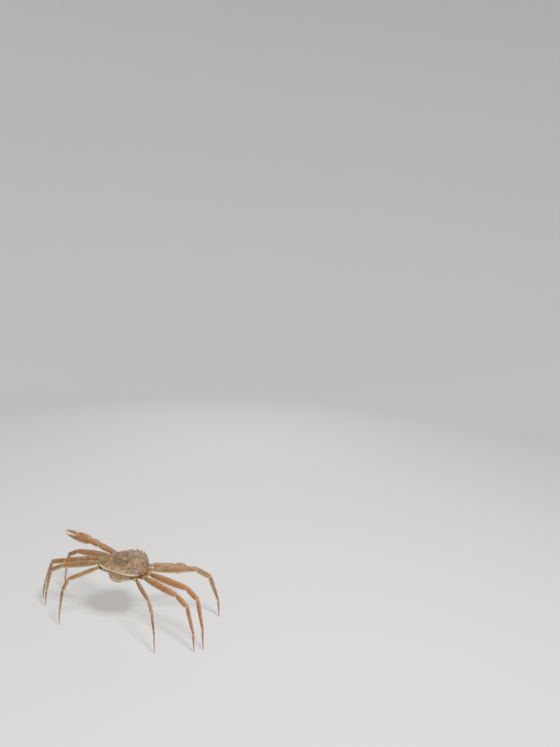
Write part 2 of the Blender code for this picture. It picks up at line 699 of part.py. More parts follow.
def walking_leg(side_name, number, tree):
    """Five solids of a walking leg, from the thorax to the foot on the floor."""
    side = SIDES[side_name]
    girth = LIMBS[number]["girth"]
    joints, turns = leg_points(side_name, number)
    ways = [aim(side, heading, pitch) for heading, pitch in turns]
    inner_way = limb_root(side_name, number, ways[0], tree)
    planes = [joint_plane(a, b) for a, b in zip([inner_way] + ways[:-1], ways)]
    planes.append(None)
    pieces = (("merus", MERUS, 12, "leg"), ("carpus", CARPUS, 10, "leg"),
              ("propodus", PROPODUS, 10, "leg"), ("dactylus", DACTYLUS, 8, "dactylus"))
    for k, (part, profile, sides, kind) in enumerate(pieces):
        axes = cross_axes(side, *turns[k], radians(LEG_TWIST))
        bow = LEG_BOW if part in ("merus", "dactylus") else 0.0
        rings = mitred_rings(
            joints[k], joints[k + 1], planes[k], planes[k + 1], axes, profile, girth, sides, bow)
        if part == "dactylus":
            way = ways[k]
            rings[-1] = np.array([p - way * (p[2] / way[2]) for p in rings[-1]])
        points, faces = stack(rings)
        name = "%s_%s_%s" % (LIMB_NAMES[number], side_name, part)
        if part not in LEG_ROWS:
            mesh_object(name, points, faces, kind, joints[k])
            continue
        height, radius = (girth * size for size in MERUS_SPINE)
        places = LEG_ROWS[part]
        plate = mesh_object(name, points, faces, kind, (0.0, 0.0, 0.0))
        fuse(plate, row_of_cones(
            joints[k], joints[k + 1], axes, places, (0.0, 180.0), height, radius, surface_tree(plate)))


def claw_rings(joint, way, axes, profile, sides):
    """Rings of a hand or finger: place along it, the middle's height, half height and half thickness."""
    thick, upward = axes
    turn = np.arange(sides) * 2.0 * pi / sides
    rings = []
    for place, rise, half_height, half_thick in profile:
        middle = joint + way * place + upward * rise
        around = np.outer(np.cos(turn) * half_thick, thick) + np.outer(np.sin(turn) * half_height, upward)
        rings.append(middle + around)
    return rings


def claw_arm(side_name, tree):
    """Claw arm: root, merus, carpus, hand with its fixed finger, and moving finger."""
    side = SIDES[side_name]
    joints, turns = arm_points(side_name)
    ways = [aim(side, heading, pitch) for heading, pitch in turns]
    inner_way = limb_root(side_name, 1, ways[0], tree)
    planes = [joint_plane(a, b) for a, b in zip([inner_way] + ways[:-1], ways)]
    for k, (part, profile) in enumerate((("merus", ARM_MERUS), ("carpus", ARM_CARPUS))):
        axes = cross_axes(side, *turns[k], 0.0)
        rings = mitred_rings(joints[k], joints[k + 1], planes[k], planes[k + 1], axes, profile, 1.0, 12)
        points, faces = stack(rings)
        plate = mesh_object("claw_arm_%s_%s" % (side_name, part), points, faces, "claw", (0.0, 0.0, 0.0))
        fuse(plate, row_of_cones(
            joints[k], joints[k + 1], axes, ARM_ROW, ARM_TURNS, *ARM_SPINE, surface_tree(plate)))
    axes = cross_axes(side, *turns[2], 0.0)
    rings = claw_rings(joints[2], ways[2], axes, HAND + FIXED_FINGER, 12)
    offset = rings[0] - joints[2]
    lean = (-(offset @ planes[2]) + GAP / 2.0) / (ways[2] @ planes[2])
    rings[0] = rings[0] + np.outer(lean, ways[2])
    rings[1] = rings[1] + np.outer(lean * 0.6, ways[2])
    points, faces = stack(rings)
    hand = mesh_object("claw_arm_%s_hand" % side_name, points, faces, "claw", (0.0, 0.0, 0.0))
    fuse(hand, teeth(joints[2], ways[2], axes, FIXED_FINGER, 1.0))
    points, faces = stack(claw_rings(joints[2], ways[2], axes, MOVING_FINGER, 12))
    finger = mesh_object("claw_arm_%s_finger" % side_name, points, faces, "claw", (0.0, 0.0, 0.0))
    fuse(finger, teeth(joints[2], ways[2], axes, MOVING_FINGER, -1.0))


def centre_on_floor():
    """Parent every solid to one empty that puts the middle of the whole box over the origin."""
    solids = [thing for thing in bpy.data.objects if thing.type == "MESH"]
    corners = np.array([
        np.array(thing.location) + np.array(v.co) for thing in solids for v in thing.data.vertices])
    middle = (corners.min(axis=0) + corners.max(axis=0)) / 2.0
    root = bpy.data.objects.new("crab", None)
    root.location = (-middle[0], -middle[1], 0.0)
    bpy.context.scene.collection.objects.link(root)
    for thing in solids:
        thing.parent = root


def main():
    clear_scene()
    shell = carapace()
    chest = thorax()
    shell_tree = surface_tree(shell)
    chest_tree = surface_tree(chest)
    abdomen(chest_tree)
    for side_name in SIDES:
        mouthpart(side_name, chest_tree)
        eye(side_name, shell_tree)
        antenna(side_name, shell_tree)
        claw_arm(side_name, chest_tree)
        for number in (2, 3, 4, 5):
            walking_leg(side_name, number, chest_tree)
    centre_on_floor()


main()
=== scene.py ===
"""Looks of the snow crab: fine shells, joints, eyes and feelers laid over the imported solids.

Every shell is a surface worked out on a grid, in millimetres, and turned to metres where its mesh is
made. Inside the body's own frame a place is (left, forward, up) from the middle of the carapace at the
height of the leg roots. The head looks along -Y and the crab's left is +X.
"""
from math import asin, atan2, cos, pi, radians, sin

import bpy
import numpy as np
from mathutils import Matrix, Vector


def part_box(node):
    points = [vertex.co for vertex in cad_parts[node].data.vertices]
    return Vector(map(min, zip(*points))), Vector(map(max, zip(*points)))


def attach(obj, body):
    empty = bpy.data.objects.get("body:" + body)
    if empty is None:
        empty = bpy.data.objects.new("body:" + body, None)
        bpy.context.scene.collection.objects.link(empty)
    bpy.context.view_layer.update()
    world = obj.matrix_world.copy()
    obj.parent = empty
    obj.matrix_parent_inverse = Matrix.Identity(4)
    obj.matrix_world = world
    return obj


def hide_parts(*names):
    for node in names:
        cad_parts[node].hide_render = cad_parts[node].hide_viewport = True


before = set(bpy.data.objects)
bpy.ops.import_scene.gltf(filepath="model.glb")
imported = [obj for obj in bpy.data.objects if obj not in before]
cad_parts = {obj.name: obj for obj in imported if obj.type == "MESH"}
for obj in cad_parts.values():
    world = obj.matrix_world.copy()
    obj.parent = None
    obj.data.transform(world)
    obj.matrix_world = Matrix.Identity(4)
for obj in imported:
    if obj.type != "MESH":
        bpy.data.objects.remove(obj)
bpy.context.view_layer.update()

bl_info = {
    "name": "Snow crab",
    "version": (1, 0, 0),
    "blender": (4, 5, 0),
    "location": "3D View > Sidebar > Snow crab",
    "description": "Builds the shells, joints, eyes and feelers of a life-size snow crab",
    "category": "Object",
}

MM = 0.001

# Stance of the body and the legs, as the solids have it
STAND_HEIGHT = 135
BODY_ROLL = radians(6)
LEG_TWIST = radians(62)
JOINT_GAP = 0.3
LEG_BOW = 1.4
SIDES = {"left": 1, "right": -1}

# Body: half outline of the carapace from the middle of the rear edge to the notch of the rostrum
HUB = np.array((0, -4))
CARAPACE_HALF = (
    (0, -60), (11, -59.7), (22, -58), (33, -54.6), (43.5, -49), (52.5, -41),
    (59, -31), (62.2, -20), (62, -9), (58.6, 2.5), (53, 14), (46.4, 25),
    (39.8, 34), (33, 42), (28, 46.8), (24.2, 52.4), (20.6, 48.4), (16.8, 45.6),
    (12.8, 48.6), (9.8, 53.2), (7.4, 58), (5, 63), (2.6, 58.6), (0, 55.4),
)
RIDGE = ((-60, 15.5), (-46, 22.5), (-20, 26), (8, 26.5), (34, 21.5), (50, 17.5), (63, 15))
UNDERSIDE = 3
MARGIN_HEIGHT = 7
MARGIN_RISE = 7
THORAX_HALF = (
    (0, -51), (10, -50), (20.5, -45.5), (31, -35.5), (37.3, -22), (38.8, -8),
    (36.6, 6), (31.2, 20), (25.6, 31), (20, 38.5), (12, 44), (0, 45.5),
)
# Height of each level of the thorax and the scale of its outline there
THORAX_LEVELS = ((UNDERSIDE - 0.3, 1), (-6, 1), (-13, 0.97), (-17.5, 0.88), (-20, 0.7))
SOCKET_HEIGHT = -6.5

# Limbs: socket on the thorax, root of the merus, lengths of the four outer pieces, girth
LIMBS = {
    1: dict(socket=(31, 20), root=(52, 34), lengths=(62, 30, 46, 42), girth=0.82),
    2: dict(socket=(36.5, 6.5), root=(65, 16), lengths=(104, 40, 66, 45), girth=1),
    3: dict(socket=(38.8, -8), root=(70, -6), lengths=(108, 41, 68, 47), girth=1),
    4: dict(socket=(37.3, -22), root=(67, -27), lengths=(100, 38, 62, 43), girth=0.95),
    5: dict(socket=(31.6, -34.5), root=(52, -42.5), lengths=(74, 30, 52, 40), girth=0.72),
}
CLAW_ARM = 1
WALKING_LEGS = (2, 3, 4, 5)
LIMB_NAMES = {1: "claw_arm", 2: "leg_1", 3: "leg_2", 4: "leg_3", 5: "leg_4"}
# Heading of the merus, its pitch, heading of the propodus, bend to the propodus, bend to the dactylus
STANCE = {
    ("left", 2): (9, -8, 14, -46, -16),
    ("left", 3): (-2, -12, 2, -52, -12),
    ("left", 4): (-4, -13, -6, -50, -10),
    ("left", 5): (-34, -18, -30, -20, -6),
    ("right", 2): (24, 0, 20, -40, -16),
    ("right", 3): (-9, -3, -38, -48, -18),
    ("right", 4): (-13, -7.5, -26, -44, -18),
    ("right", 5): (-36, -14, -40, -26, -12),
}
# Heading and pitch of the claw arms' merus, carpus and hand
REACH = {
    "left": ((14, 6), (14, 6), (2, 5)),
    "right": ((38, -12), (78, -24), (146, -30)),
}

# Girths along each piece: place from 0 to 1, width, thickness
COXA = ((0, 12, 12.8), (0.3, 12, 12.4), (0.5, 10.4, 11), (0.85, 11.4, 10.6), (1, 10.4, 9.2))
MERUS = ((0, 10.4, 7.6), (0.1, 12.6, 8.8), (0.35, 15.6, 9.6), (0.7, 15, 9.4), (0.93, 12.8, 9),
         (1, 11.2, 8.4))
CARPUS = ((0, 10.6, 8.2), (0.2, 12.4, 9.2), (0.6, 12.8, 9.6), (0.9, 12, 9.4), (1, 10.4, 8.4))
PROPODUS = ((0, 9.4, 7.4), (0.15, 10.8, 8.2), (0.5, 9.8, 7.4), (0.9, 7.4, 6), (1, 6.8, 5.6))
DACTYLUS = ((0, 6, 5), (0.12, 6.6, 5.4), (0.4, 5.6, 4.6), (0.75, 3.8, 3.3), (1, 1.5, 1.5))
ARM_MERUS = ((0, 10.5, 11), (0.15, 12.5, 13), (0.5, 14.5, 15), (0.88, 15.5, 15.5), (1, 12.5, 12.5))
ARM_CARPUS = ((0, 12.5, 12.5), (0.25, 16.5, 16.5), (0.65, 18, 17.5), (0.9, 15.5, 15.5), (1, 12.5, 12.5))
# Hand and fingers: place in mm, middle's height, half height, half thickness
HAND = ((0, 0, 6.4, 5.6), (5, 0, 9.6, 7.4), (16, 0.2, 13, 9.2), (30, 0.2, 14, 9.6),
        (42, 0, 13.4, 8.8), (46, 0, 12.4, 8))
FIXED_FINGER = ((47.2, -6.4, 5.9, 5.4), (56, -6.2, 5, 4.6), (68, -5, 3.7, 3.4),
                (80, -3.2, 2.4, 2.2), (88, -1.5, 1.1, 1))
MOVING_FINGER = ((47.9, 6.4, 5.6, 5.2), (52, 7, 5.7, 5), (62, 8.4, 4.9, 4.2), (74, 8.2, 3.6, 3.2),
                 (84, 6.7, 2.1, 1.9), (88.6, 5.6, 1, 1))
# Teeth of the fingers: place in mm, height, radius
TEETH = ((52, 1.1, 1.5), (55, 1.6, 1.8), (58.5, 1.2, 1.4), (61.5, 1.9, 1.9), (65, 1.2, 1.3),
         (68, 1.5, 1.6), (71, 1, 1.1), (74, 1.2, 1.3), (77, 0.8, 0.9), (80, 0.8, 0.9))


# Places, curves and patterns


def body(place):
    """Places in the body's frame, rolled about the forward axis and lifted to where the body stands."""
    left, forward, up = np.moveaxis(np.asarray(place, float), -1, 0)
    return np.stack([
        left * cos(BODY_ROLL) - up * sin(BODY_ROLL),
        -forward,
        STAND_HEIGHT + up * cos(BODY_ROLL) + left * sin(BODY_ROLL),
    ], axis=-1)


def body_direction(direction):
    """Directions in the body's frame, turned to the model's."""
    return body(direction) - body((0, 0, 0))


def on_side(side, places):
    """Places that are given for the left side, on either side of the body."""
    return body(np.array(places) * (side, 1, 1))


def mirrored(half):
    """The closed outline of a half: up the left side, down the right, and back to the first corner."""
    half = np.array(half)
    return np.vstack([half, half[-2:0:-1] * (-1, 1), half[:1]])


def packed_offset():
    """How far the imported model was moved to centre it: its thorax's low corner less the same corner here."""
    loop = mirrored(THORAX_HALF)
    levels = [np.column_stack([HUB + (loop - HUB) * scale, np.full(len(loop), height)])
              for height, scale in THORAX_LEVELS]
    return np.array(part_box("thorax")[0]) / MM - body(np.vstack(levels)).min(axis=0)


OFFSET = packed_offset()


def unit(vectors):
    return vectors / np.linalg.norm(vectors, axis=-1, keepdims=True)


def bell(away, width):
    """1 at no distance, falling off as exp(-(d/w)^2)."""
    return np.exp(-(away / width) ** 2)


def smoothstep(low, high, value):
    """0 below low, 1 above high, and 3t^2 - 2t^3 between."""
    share = np.clip((value - low) / (high - low), 0, 1)
    return share * share * (3 - 2 * share)


def run_along(path):
    """Length along a path from its start to each of its points."""
    return np.concatenate([[0], np.cumsum(np.linalg.norm(np.diff(path, axis=0), axis=1))])


def through(knots, values, places):
    """A smooth curve through the knots: cubic pieces whose slopes are those of the neighbouring knots."""
    knots = np.asarray(knots, float)
    flat = np.asarray(values, float).reshape(len(knots), -1)
    slopes = np.gradient(flat, knots, axis=0)
    k = np.clip(np.searchsorted(knots, places, side="right") - 1, 0, len(knots) - 2)
    width = (knots[k + 1] - knots[k])[:, None]
    t = np.clip((places - knots[k])[:, None] / width, 0, 1)
    before = flat[k] * (2 * t ** 3 - 3 * t ** 2 + 1) + slopes[k] * width * (t ** 3 - 2 * t ** 2 + t)
    after = flat[k + 1] * (3 * t ** 2 - 2 * t ** 3) + slopes[k + 1] * width * (t ** 3 - t ** 2)
    return (before + after).reshape((len(places),) + np.shape(values)[1:])


def closed_curve(half, count, crowd=0):
    """Places round the smooth outline through a half's corners; crowd sets more of them at the rostrum."""
    loop = mirrored(half)
    knots = run_along(loop)
    weight = 1 + crowd * smoothstep(30, 46, (loop[1:, 1] + loop[:-1, 1]) / 2)
    dense = np.concatenate([[0], np.cumsum(np.diff(knots) * weight)])
    places = np.interp(np.arange(count) * dense[-1] / count, dense, knots)
    laps = np.concatenate([knots[:-1] - knots[-1], knots[:-1], knots + knots[-1]])
    return through(laps, np.vstack([loop[:-1], loop[:-1], loop]), places)


def smoothed(loop, times):
    """A closed loop after this many passes of quarter, half, quarter."""
    for _ in range(times):
        loop = (np.roll(loop, 1, axis=0) + 2 * loop + np.roll(loop, -1, axis=0)) / 4
    return loop


def superellipse(count, power=2):
    """Turns and unit ring of |x|^n + |y|^n = 1: cos and sin, each raised to 2/n with its sign kept."""
    turn = np.arange(count) * 2 * pi / count
    x, y = np.cos(turn), np.sin(turn)
    return turn, np.sign(x) * np.abs(x) ** (2 / power), np.sign(y) * np.abs(y) ** (2 / power)


def swept(path, across, upward, side, rise):
    """Grid of rings along a path: each place is path + side * across + rise * upward."""
    across, upward = (np.broadcast_to(way, path.shape)[:, None, :] for way in (across, upward))
    return path[:, None, :] + side[..., None] * across + rise[..., None] * upward


def grid_normals(points):
    """Unit normals of a grid of points: the cross product of its two neighbour differences."""
    across = np.roll(points, -1, axis=1) - np.roll(points, 1, axis=1)
    normal = np.cross(across, np.gradient(points, axis=0))
    return normal / np.maximum(np.linalg.norm(normal, axis=2, keepdims=True), 1e-9)


WART_CELLS = 256


def warts(x, y, cell, radius, seed, columns=None, share=1):
    """Heights from 0 to 1 of round warts strewn over a plane, one in each jittered cell.

    A wart's profile is (1 - (d/r)^2)^2 for the distance d from its middle, and the highest of the nine
    cells round a place counts. Where columns is given the pattern closes on itself across x.
    """
    draw = np.random.default_rng(seed)
    square = (WART_CELLS, WART_CELLS)
    jitter = draw.uniform(0.15, 0.85, (*square, 2))
    scale = draw.uniform(0.55, 1, square) * (draw.uniform(0, 1, square) < share)
    x, y = np.broadcast_arrays(x, y)
    column, row = np.floor(x / cell).astype(int), np.floor(y / cell).astype(int)
    best = np.zeros(x.shape)
    for i in (-1, 0, 1):
        for j in (-1, 0, 1):
            a, b = column + i, row + j
            at = (a % columns if columns else a) % WART_CELLS, b % WART_CELLS
            centre, grown = jitter[at], scale[at]
            away = ((a + centre[..., 0]) * cell - x) ** 2 + ((b + centre[..., 1]) * cell - y) ** 2
            reach = np.maximum(radius * grown, 1e-6)
            best = np.maximum(best, grown * np.clip(1 - away / reach ** 2, 0, 1) ** 2)
    return best


def distance_to_path(x, y, path):
    """Distance from places to the nearest straight stretch of a path."""
    path = np.asarray(path, float)
    nearest = np.full(np.shape(x), np.inf)
    for a, b in zip(path[:-1], path[1:]):
        way = b - a
        share = np.clip(((x - a[0]) * way[0] + (y - a[1]) * way[1]) / (way @ way), 0, 1)
        nearest = np.minimum(nearest, np.hypot(x - a[0] - share * way[0], y - a[1] - share * way[1]))
    return nearest


# Closed surfaces and pieces


def tube_faces(rows, columns):
    """Quads of a grid that closes across its columns, and a fan of triangles to a pole at each end."""
    k = np.arange(columns)
    after = (k + 1) % columns
    row = np.arange(rows - 1)[:, None] * columns
    quads = np.stack([row + k, row + after, row + columns + after, row + columns + k], axis=-1).reshape(-1, 4)
    start, top = rows * columns, (rows - 1) * columns
    low = np.column_stack([after, k, np.full(columns, start)])
    high = np.column_stack([top + k, top + after, np.full(columns, start + 1)])
    return quads, np.vstack([low, high])


def enclosed(grid):
    """Six times the volume inside a grid that closes across its columns; negative where it is inside out.

    Each quad adds the triple products of its corners, taken from the grid's middle.
    """
    corners = grid - grid.mean(axis=(0, 1))
    a, d = corners[:-1], corners[1:]
    b, c = np.roll(a, -1, axis=1), np.roll(d, -1, axis=1)
    return np.sum(a * np.cross(b, c)) + np.sum(a * np.cross(c, d))


def closed_tube(points, wart=0, groove=0, pale=0, tone=0):
    """Points, faces and colour attributes of a grid closed across its columns, with a pole at each end.

    The attributes are kept within 0 and 1, and the columns are run the other way round where the faces
    would look inwards.
    """
    shape = points.shape[:2]
    # groove marks painted shade in hollows, grooves and seams, and the real dark horny tips of the feet
    shades = {"wart": wart, "groove": groove, "pale": pale, "tone": tone}
    shades = {key: np.broadcast_to(np.clip(value, 0, 1), shape) for key, value in shades.items()}
    if enclosed(points) < 0:
        points = points[:, ::-1]
        shades = {key: values[:, ::-1] for key, values in shades.items()}
    poles = np.stack([points[0].mean(axis=0), points[-1].mean(axis=0)])
    flat = {key: np.concatenate([values.ravel(), [values[0].mean(), values[-1].mean()]])
            for key, values in shades.items()}
    return np.vstack([points.reshape(-1, 3), poles]), *tube_faces(*shape), flat


def joined(parts):
    """One set of points, quads, triangles and attributes from several."""
    starts = np.cumsum([0] + [len(part[0]) for part in parts])
    quads, triangles = (np.vstack([part[kind] + start for part, start in zip(parts, starts)])
                        for kind in (1, 2))
    shades = {key: np.concatenate([part[3][key] for part in parts]) for key in parts[0][3]}
    return np.vstack([part[0] for part in parts]), quads, triangles, shades


def mesh_object(name, points, quads, triangles):
    """A smooth mesh object from arrays in metres, linked to the scene."""
    mesh = bpy.data.meshes.new(name)
    corners = np.concatenate([np.ravel(quads), np.ravel(triangles)]).astype(np.int32)
    sizes = np.concatenate([np.full(len(quads), 4), np.full(len(triangles), 3)])
    mesh.vertices.add(len(points))
    mesh.vertices.foreach_set("co", points.astype(np.float32).ravel())
    mesh.loops.add(len(corners))
    mesh.loops.foreach_set("vertex_index", corners)
    mesh.polygons.add(len(sizes))
    mesh.polygons.foreach_set("loop_start", (np.cumsum(sizes) - sizes).astype(np.int32))
    mesh.update(calc_edges=True)
    mesh.shade_smooth()
    thing = bpy.data.objects.new(name, mesh)
    bpy.context.scene.collection.objects.link(thing)
    return thing


def mesh_piece(name, parts, material, slot, *replaced):
    """A finished piece from closed parts in mm: its mesh, material, body and the nodes it stands for."""
    points, quads, triangles, shades = joined(parts)
    piece = mesh_object(name, (points + OFFSET) * MM, quads, triangles)
    for key, values in shades.items():
        layer = piece.data.attributes.new(key, "FLOAT", "POINT")
        layer.data.foreach_set("value", values.astype(np.float32))
    piece.data.materials.append(material)
    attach(piece, "root")
    if replaced:
        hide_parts(*replaced)


def dress(node, parts, material, slot):
    """The shell that stands for one node of the solids and is named after it."""
    mesh_piece(node + "_shell", parts, material, slot, node)


# Rings of a spine and of a blunt tooth: share of the height and share of the radius
SPINE_RINGS = ((0.25, 0.78), (0.62, 0.42), (0.93, 0.16))
TOOTH_RINGS = ((0.3, 1), (0.68, 0.84), (0.93, 0.46))


def cones_on(feet, outwards, heights, radii, sides=8, shape=SPINE_RINGS, wart=0.6, pale=0):
    """Closed spines or teeth, one at each foot, leaning along its outward direction."""
    outwards = unit(outwards)
    across = unit(np.cross(outwards, (0.31, 0.22, 0.93)))
    _, x, y = superellipse(sides)
    towards_tip = np.array((0.3, 0.6, 0.9, 1))[:, None]
    other = np.cross(outwards, across)
    parts = []
    for foot, outward, a, b, height, radius in zip(feet, outwards, across, other, heights, radii):
        circle = np.outer(x, a) + np.outer(y, b)
        rings = np.stack([
            foot - outward + circle * radius * 1.15,
            *(foot + outward * height * high + circle * radius * wide for high, wide in shape),
        ])
        parts.append(closed_tube(rings, wart=wart * towards_tip, pale=pale, tone=0.5 * towards_tip))
    return joined(parts)


def ellipsoid(centre, axis, across, upward, grid, power=1, wrinkle=0):
    """Grid of a ball with these three half axes, whose rings swell as a power of the sine."""
    rows, columns = grid
    polar = (np.arange(rows) + 0.5) / rows * pi
    _, x, y = superellipse(columns)
    swell = np.sin(polar) ** power * (1 + wrinkle * np.cos(9 * polar))
    path = centre - np.outer(np.cos(polar), axis)
    return swept(path, across, upward, np.outer(swell, x), np.outer(swell, y))


def round_piece(route, girths, grid, pale, tone, ringed=0):
    """A round tapering piece along a smooth route, with its girths at places from 0 to 1.

    A ringed one swells and narrows by that share as it goes, past its thicker first joints.
    """
    rows, columns = grid
    knots = run_along(route)
    steps = np.linspace(0, 1, rows)
    path = through(knots / knots[-1], route, steps)
    rings = ringed * smoothstep(0.36, 0.42, steps) * np.cos(steps * 2 * pi * 36)
    radius = np.interp(steps, *np.array(girths).T) / 2 * (1 + rings)
    along = unit(np.gradient(path, axis=0))
    across = unit(np.cross(along, (0.12, 0.2, 0.97)))
    _, x, y = superellipse(columns)
    points = swept(path, across, np.cross(along, across), np.outer(radius, x), np.outer(radius, y))
    return closed_tube(points, pale=pale, tone=tone)


# Carapace

# Regions of the back that swell: left, forward, reach across, reach along, height
REGIONS = (
    (9.5, 26, 8, 11, 2), (0, 9, 7.5, 8.5, 1.8), (0, -21, 10, 10, 2.1),
    (32, -18, 17, 21, 3.6), (40, 8, 10, 12, 1.6), (30, 30, 7, 8, 1.2),
    (15, -46, 10, 6, 1.2),
)
# Grooves between the regions on the left half: the path, depth and half width
GROOVES = (
    (((0, -5), (8, -6), (16, 2), (23, 13), (35, 20), (46, 20)), 1.3, 2.9),
    (((8, -6), (12.5, -14), (13.5, -26), (9, -36)), 1.2, 2.7),
    (((0, 40), (0, 22), (8, 14), (16, 2)), 0.8, 2.3),
    (((18, 34), (21, 24), (23, 13)), 0.9, 2.3),
    (((9, -36), (22, -42), (36, -45)), 0.7, 2.4),
)
# Warts of the back in three sizes: cell, radius, seed, share of cells with one, height, share in the hollows
BACK_WARTS = (
    (5.6, 1.9, 3, 0.85, 1, 0.3),
    (3.3, 1.25, 5, 0.8, 0.6, 0.4),
    (1.9, 0.85, 7, 0.85, 0.26, 1),
)
# The wall under the margin: scale of the outline and share of the drop to the underside
WALL = ((1, 0), (0.994, 0.2), (0.975, 0.55), (0.94, 0.86), (0.87, 1))
WALL_ROWS = 34
# Scales of the rings that close the flat underside
UNDER_SCALES = np.array((0.9, 0.7, 0.45, 0.2, 0.04))
BACK_ROWS = 124
BACK_COLUMNS = 520
SPINE_PLACES = 168
ROSTRUM_CROWD = 1.6
# Passes that round the outline off for the rings inside it
SOFT_PASSES = 420
# Moves the warts' plane so that the whole back lies in its positive quarter
PLANE_SHIFT = 300
# Middle of the left eye's socket, its reach and depth
ORBIT = (16.6, 46.4, 10.6)
ORBIT_REACH = 4.2
ORBIT_DEPTH = 2.2


def margin_height(loop):
    """Height of the margin: lowest at the sides and higher at the front and rear."""
    away = loop - HUB
    share = np.abs(away[..., 1]) / np.maximum(np.linalg.norm(away, axis=-1), 1e-9)
    return MARGIN_HEIGHT + MARGIN_RISE * share ** 2.5


def back_relief(left, forward, scale):
    """Swellings less grooves of the back, faded out at the margin."""
    aside = np.abs(left)
    height = np.zeros(left.shape)
    for x, y, across, along, rise in REGIONS:
        for middle in (x, -x) if 0 < x < across else (x,):
            height += rise * bell(aside - middle, across) * bell(forward - y, along)
    for path, depth, half_width in GROOVES:
        height -= depth * bell(distance_to_path(aside, forward, path), half_width)
    return height * (1 - scale ** 5)


def wall_rings(margin, soft):
    """Rings from the margin down the wall to the flat underside, and how far down each one lies.

    Below the rostrum they draw in quickly to a softer outline, which leaves its horns as a thin shelf.
    """
    front, shelf = smoothstep(20, 60, margin[:, 1]), smoothstep(36, 44, margin[:, 1])
    levels = np.linspace(0, 1, WALL_ROWS + 1)[1:]
    size, depth = through(np.linspace(0, 1, len(WALL)), WALL, levels).T
    scale = size[:, None] - 0.09 * front * depth[:, None]
    edge = margin_height(margin)
    share = smoothstep(0, 0.5, depth)[:, None] * shelf
    loops = HUB + (margin + (soft - margin) * share[..., None] - HUB) * scale[..., None]
    under = HUB + (loops[-1] - HUB) * UNDER_SCALES[:, None, None]
    fall = np.concatenate([depth, np.ones(len(under))])
    return np.dstack([np.concatenate([loops, under]), edge + (UNDERSIDE - edge) * fall[:, None]]), fall


def carapace_shell(wart_height):
    """The back as rings that shrink from the outline to the hub, then the wall and underside beneath.

    A ring's height is edge + (crown - edge)(1 - s^2.4)^0.62 + relief for its scale s, where the crown
    follows the ridge line along the body. Warts stand along the normal. The wall's rear carries the
    first two rings of the tail as knobby folds, and the eye sockets are pressed into its front.
    """
    margin = closed_curve(CARAPACE_HALF, BACK_COLUMNS, ROSTRUM_CROWD)
    soft = smoothed(margin, SOFT_PASSES)
    scale = (1 - np.linspace(0, 0.985, BACK_ROWS) ** 1.45)[:, None]
    share = np.clip(2.4 * (1 - scale), 0, 1)[..., None]
    rings = HUB + (margin + (soft - margin) * share - HUB) * scale[..., None]
    edge = margin_height(margin)
    crown = np.interp(rings[..., 1], *np.array(RIDGE).T)
    relief = back_relief(rings[..., 0], rings[..., 1], scale)
    height = edge + (crown - edge) * (1 - scale ** 2.4) ** 0.62 + relief
    wall, depth = wall_rings(margin, soft)
    grid = np.concatenate([wall[::-1], np.dstack([rings, height])])
    fall = np.concatenate([depth[::-1], np.zeros(BACK_ROWS)])[:, None]
    on_back = np.concatenate([0 * depth, np.ones(BACK_ROWS)])[:, None]
    scale = np.concatenate([np.ones((len(wall), 1)), scale])
    relief = np.concatenate([np.zeros(wall.shape[:2]), relief])
    x, y = grid[..., 0], grid[..., 1]
    run = run_along(margin)
    raised = smoothstep(-1, 2.4, relief)
    height = 0
    layers = []
    for cell, radius, seed, filled, tall, low in BACK_WARTS:
        layers.append(warts(x + PLANE_SHIFT, y + PLANE_SHIFT, cell, radius, seed, share=filled))
        height = height + layers[-1] * wart_height * tall * (low + (1 - low) * raised)
    height = height * on_back * smoothstep(0, 0.03, 1 - scale)
    rim = bell(1 - scale, 0.016) * bell(fall, 0.1)
    rear = smoothstep(34, 26, np.abs(x)) * smoothstep(-42, -52, y) * (1 - on_back)
    folds = bell(fall - 0.34, 0.1) + 0.8 * bell(fall - 0.7, 0.1)
    knobs = warts(run, fall * 12, 4.2, 2.6, 17)
    on_wall = (1 - on_back) * smoothstep(0.05, 0.2, fall) * smoothstep(1, 0.9, fall)
    height += rim * (0.25 + 0.75 * warts(run, 1.3, 2.4, 1.5, 13))
    height += rear * folds * (1 + 0.7 * knobs) * smoothstep(0.98, 0.84, fall)
    height += on_wall * (1 - rear) * 0.5 * warts(run, fall * 12, 2.2, 1.1, 19)
    socket = bell(np.linalg.norm(np.dstack([np.abs(x), y, grid[..., 2]]) - ORBIT, axis=2), ORBIT_REACH)
    points = grid + grid_normals(grid) * (height - ORBIT_DEPTH * socket * (1 - on_back))[..., None]
    return closed_tube(
        body(points),
        wart=np.clip(layers[0] + 0.6 * layers[1], 0, 1) * on_back + knobs * folds * rear,
        # Painted shade: darker in the hollows between the swellings, in the eye sockets and between the rear
        # folds
        groove=(smoothstep(0.8, -1.6, relief) * on_back + 0.9 * socket
                + 0.7 * rear * np.clip(1 - folds, 0, 1)),
        pale=((1 - on_back) * smoothstep(0, 1, fall) * (0.75 - 0.2 * rear) + 0.25 * rear * folds
              + on_back * (0.75 * bell(1 - scale, 0.022) * smoothstep(-30, -55, y)
                           + 0.42 * smoothstep(-22, -52, y))),
        tone=0.4 * smoothstep(1, 4.5, relief) * on_back + 0.35 * rear)


def margin_spines(spine_length):
    """Spines along the side margins, every third one long, and all of them shorter to the front and rear."""
    loop = closed_curve(CARAPACE_HALF, SPINE_PLACES, ROSTRUM_CROWD)
    strong = smoothstep(-46, -20, loop[:, 1]) * smoothstep(52, 30, loop[:, 1])
    main = strong * (np.arange(len(loop)) % 3 == 0)
    size = 0.35 + 0.25 * strong + 0.9 * main
    away = unit(loop - HUB)
    outward = np.column_stack([away, 0.25 + 0.2 * main])
    feet = np.column_stack([loop - away * 0.5, margin_height(loop) + 0.1])
    keep = strong > 0.15
    return cones_on(body(feet[keep]), body_direction(outward[keep]), (size * spine_length)[keep],
                    (0.5 + 0.55 * size)[keep])


# Materials

# Lowest roughness of the back's shells and of the belly's
BACK_GLOSS = 0.38
BELLY_GLOSS = 0.42


def mixed(first, second, share):
    """A colour between two others: this share of the second."""
    return tuple((1 - share) * a + share * b for a, b in zip(first, second))


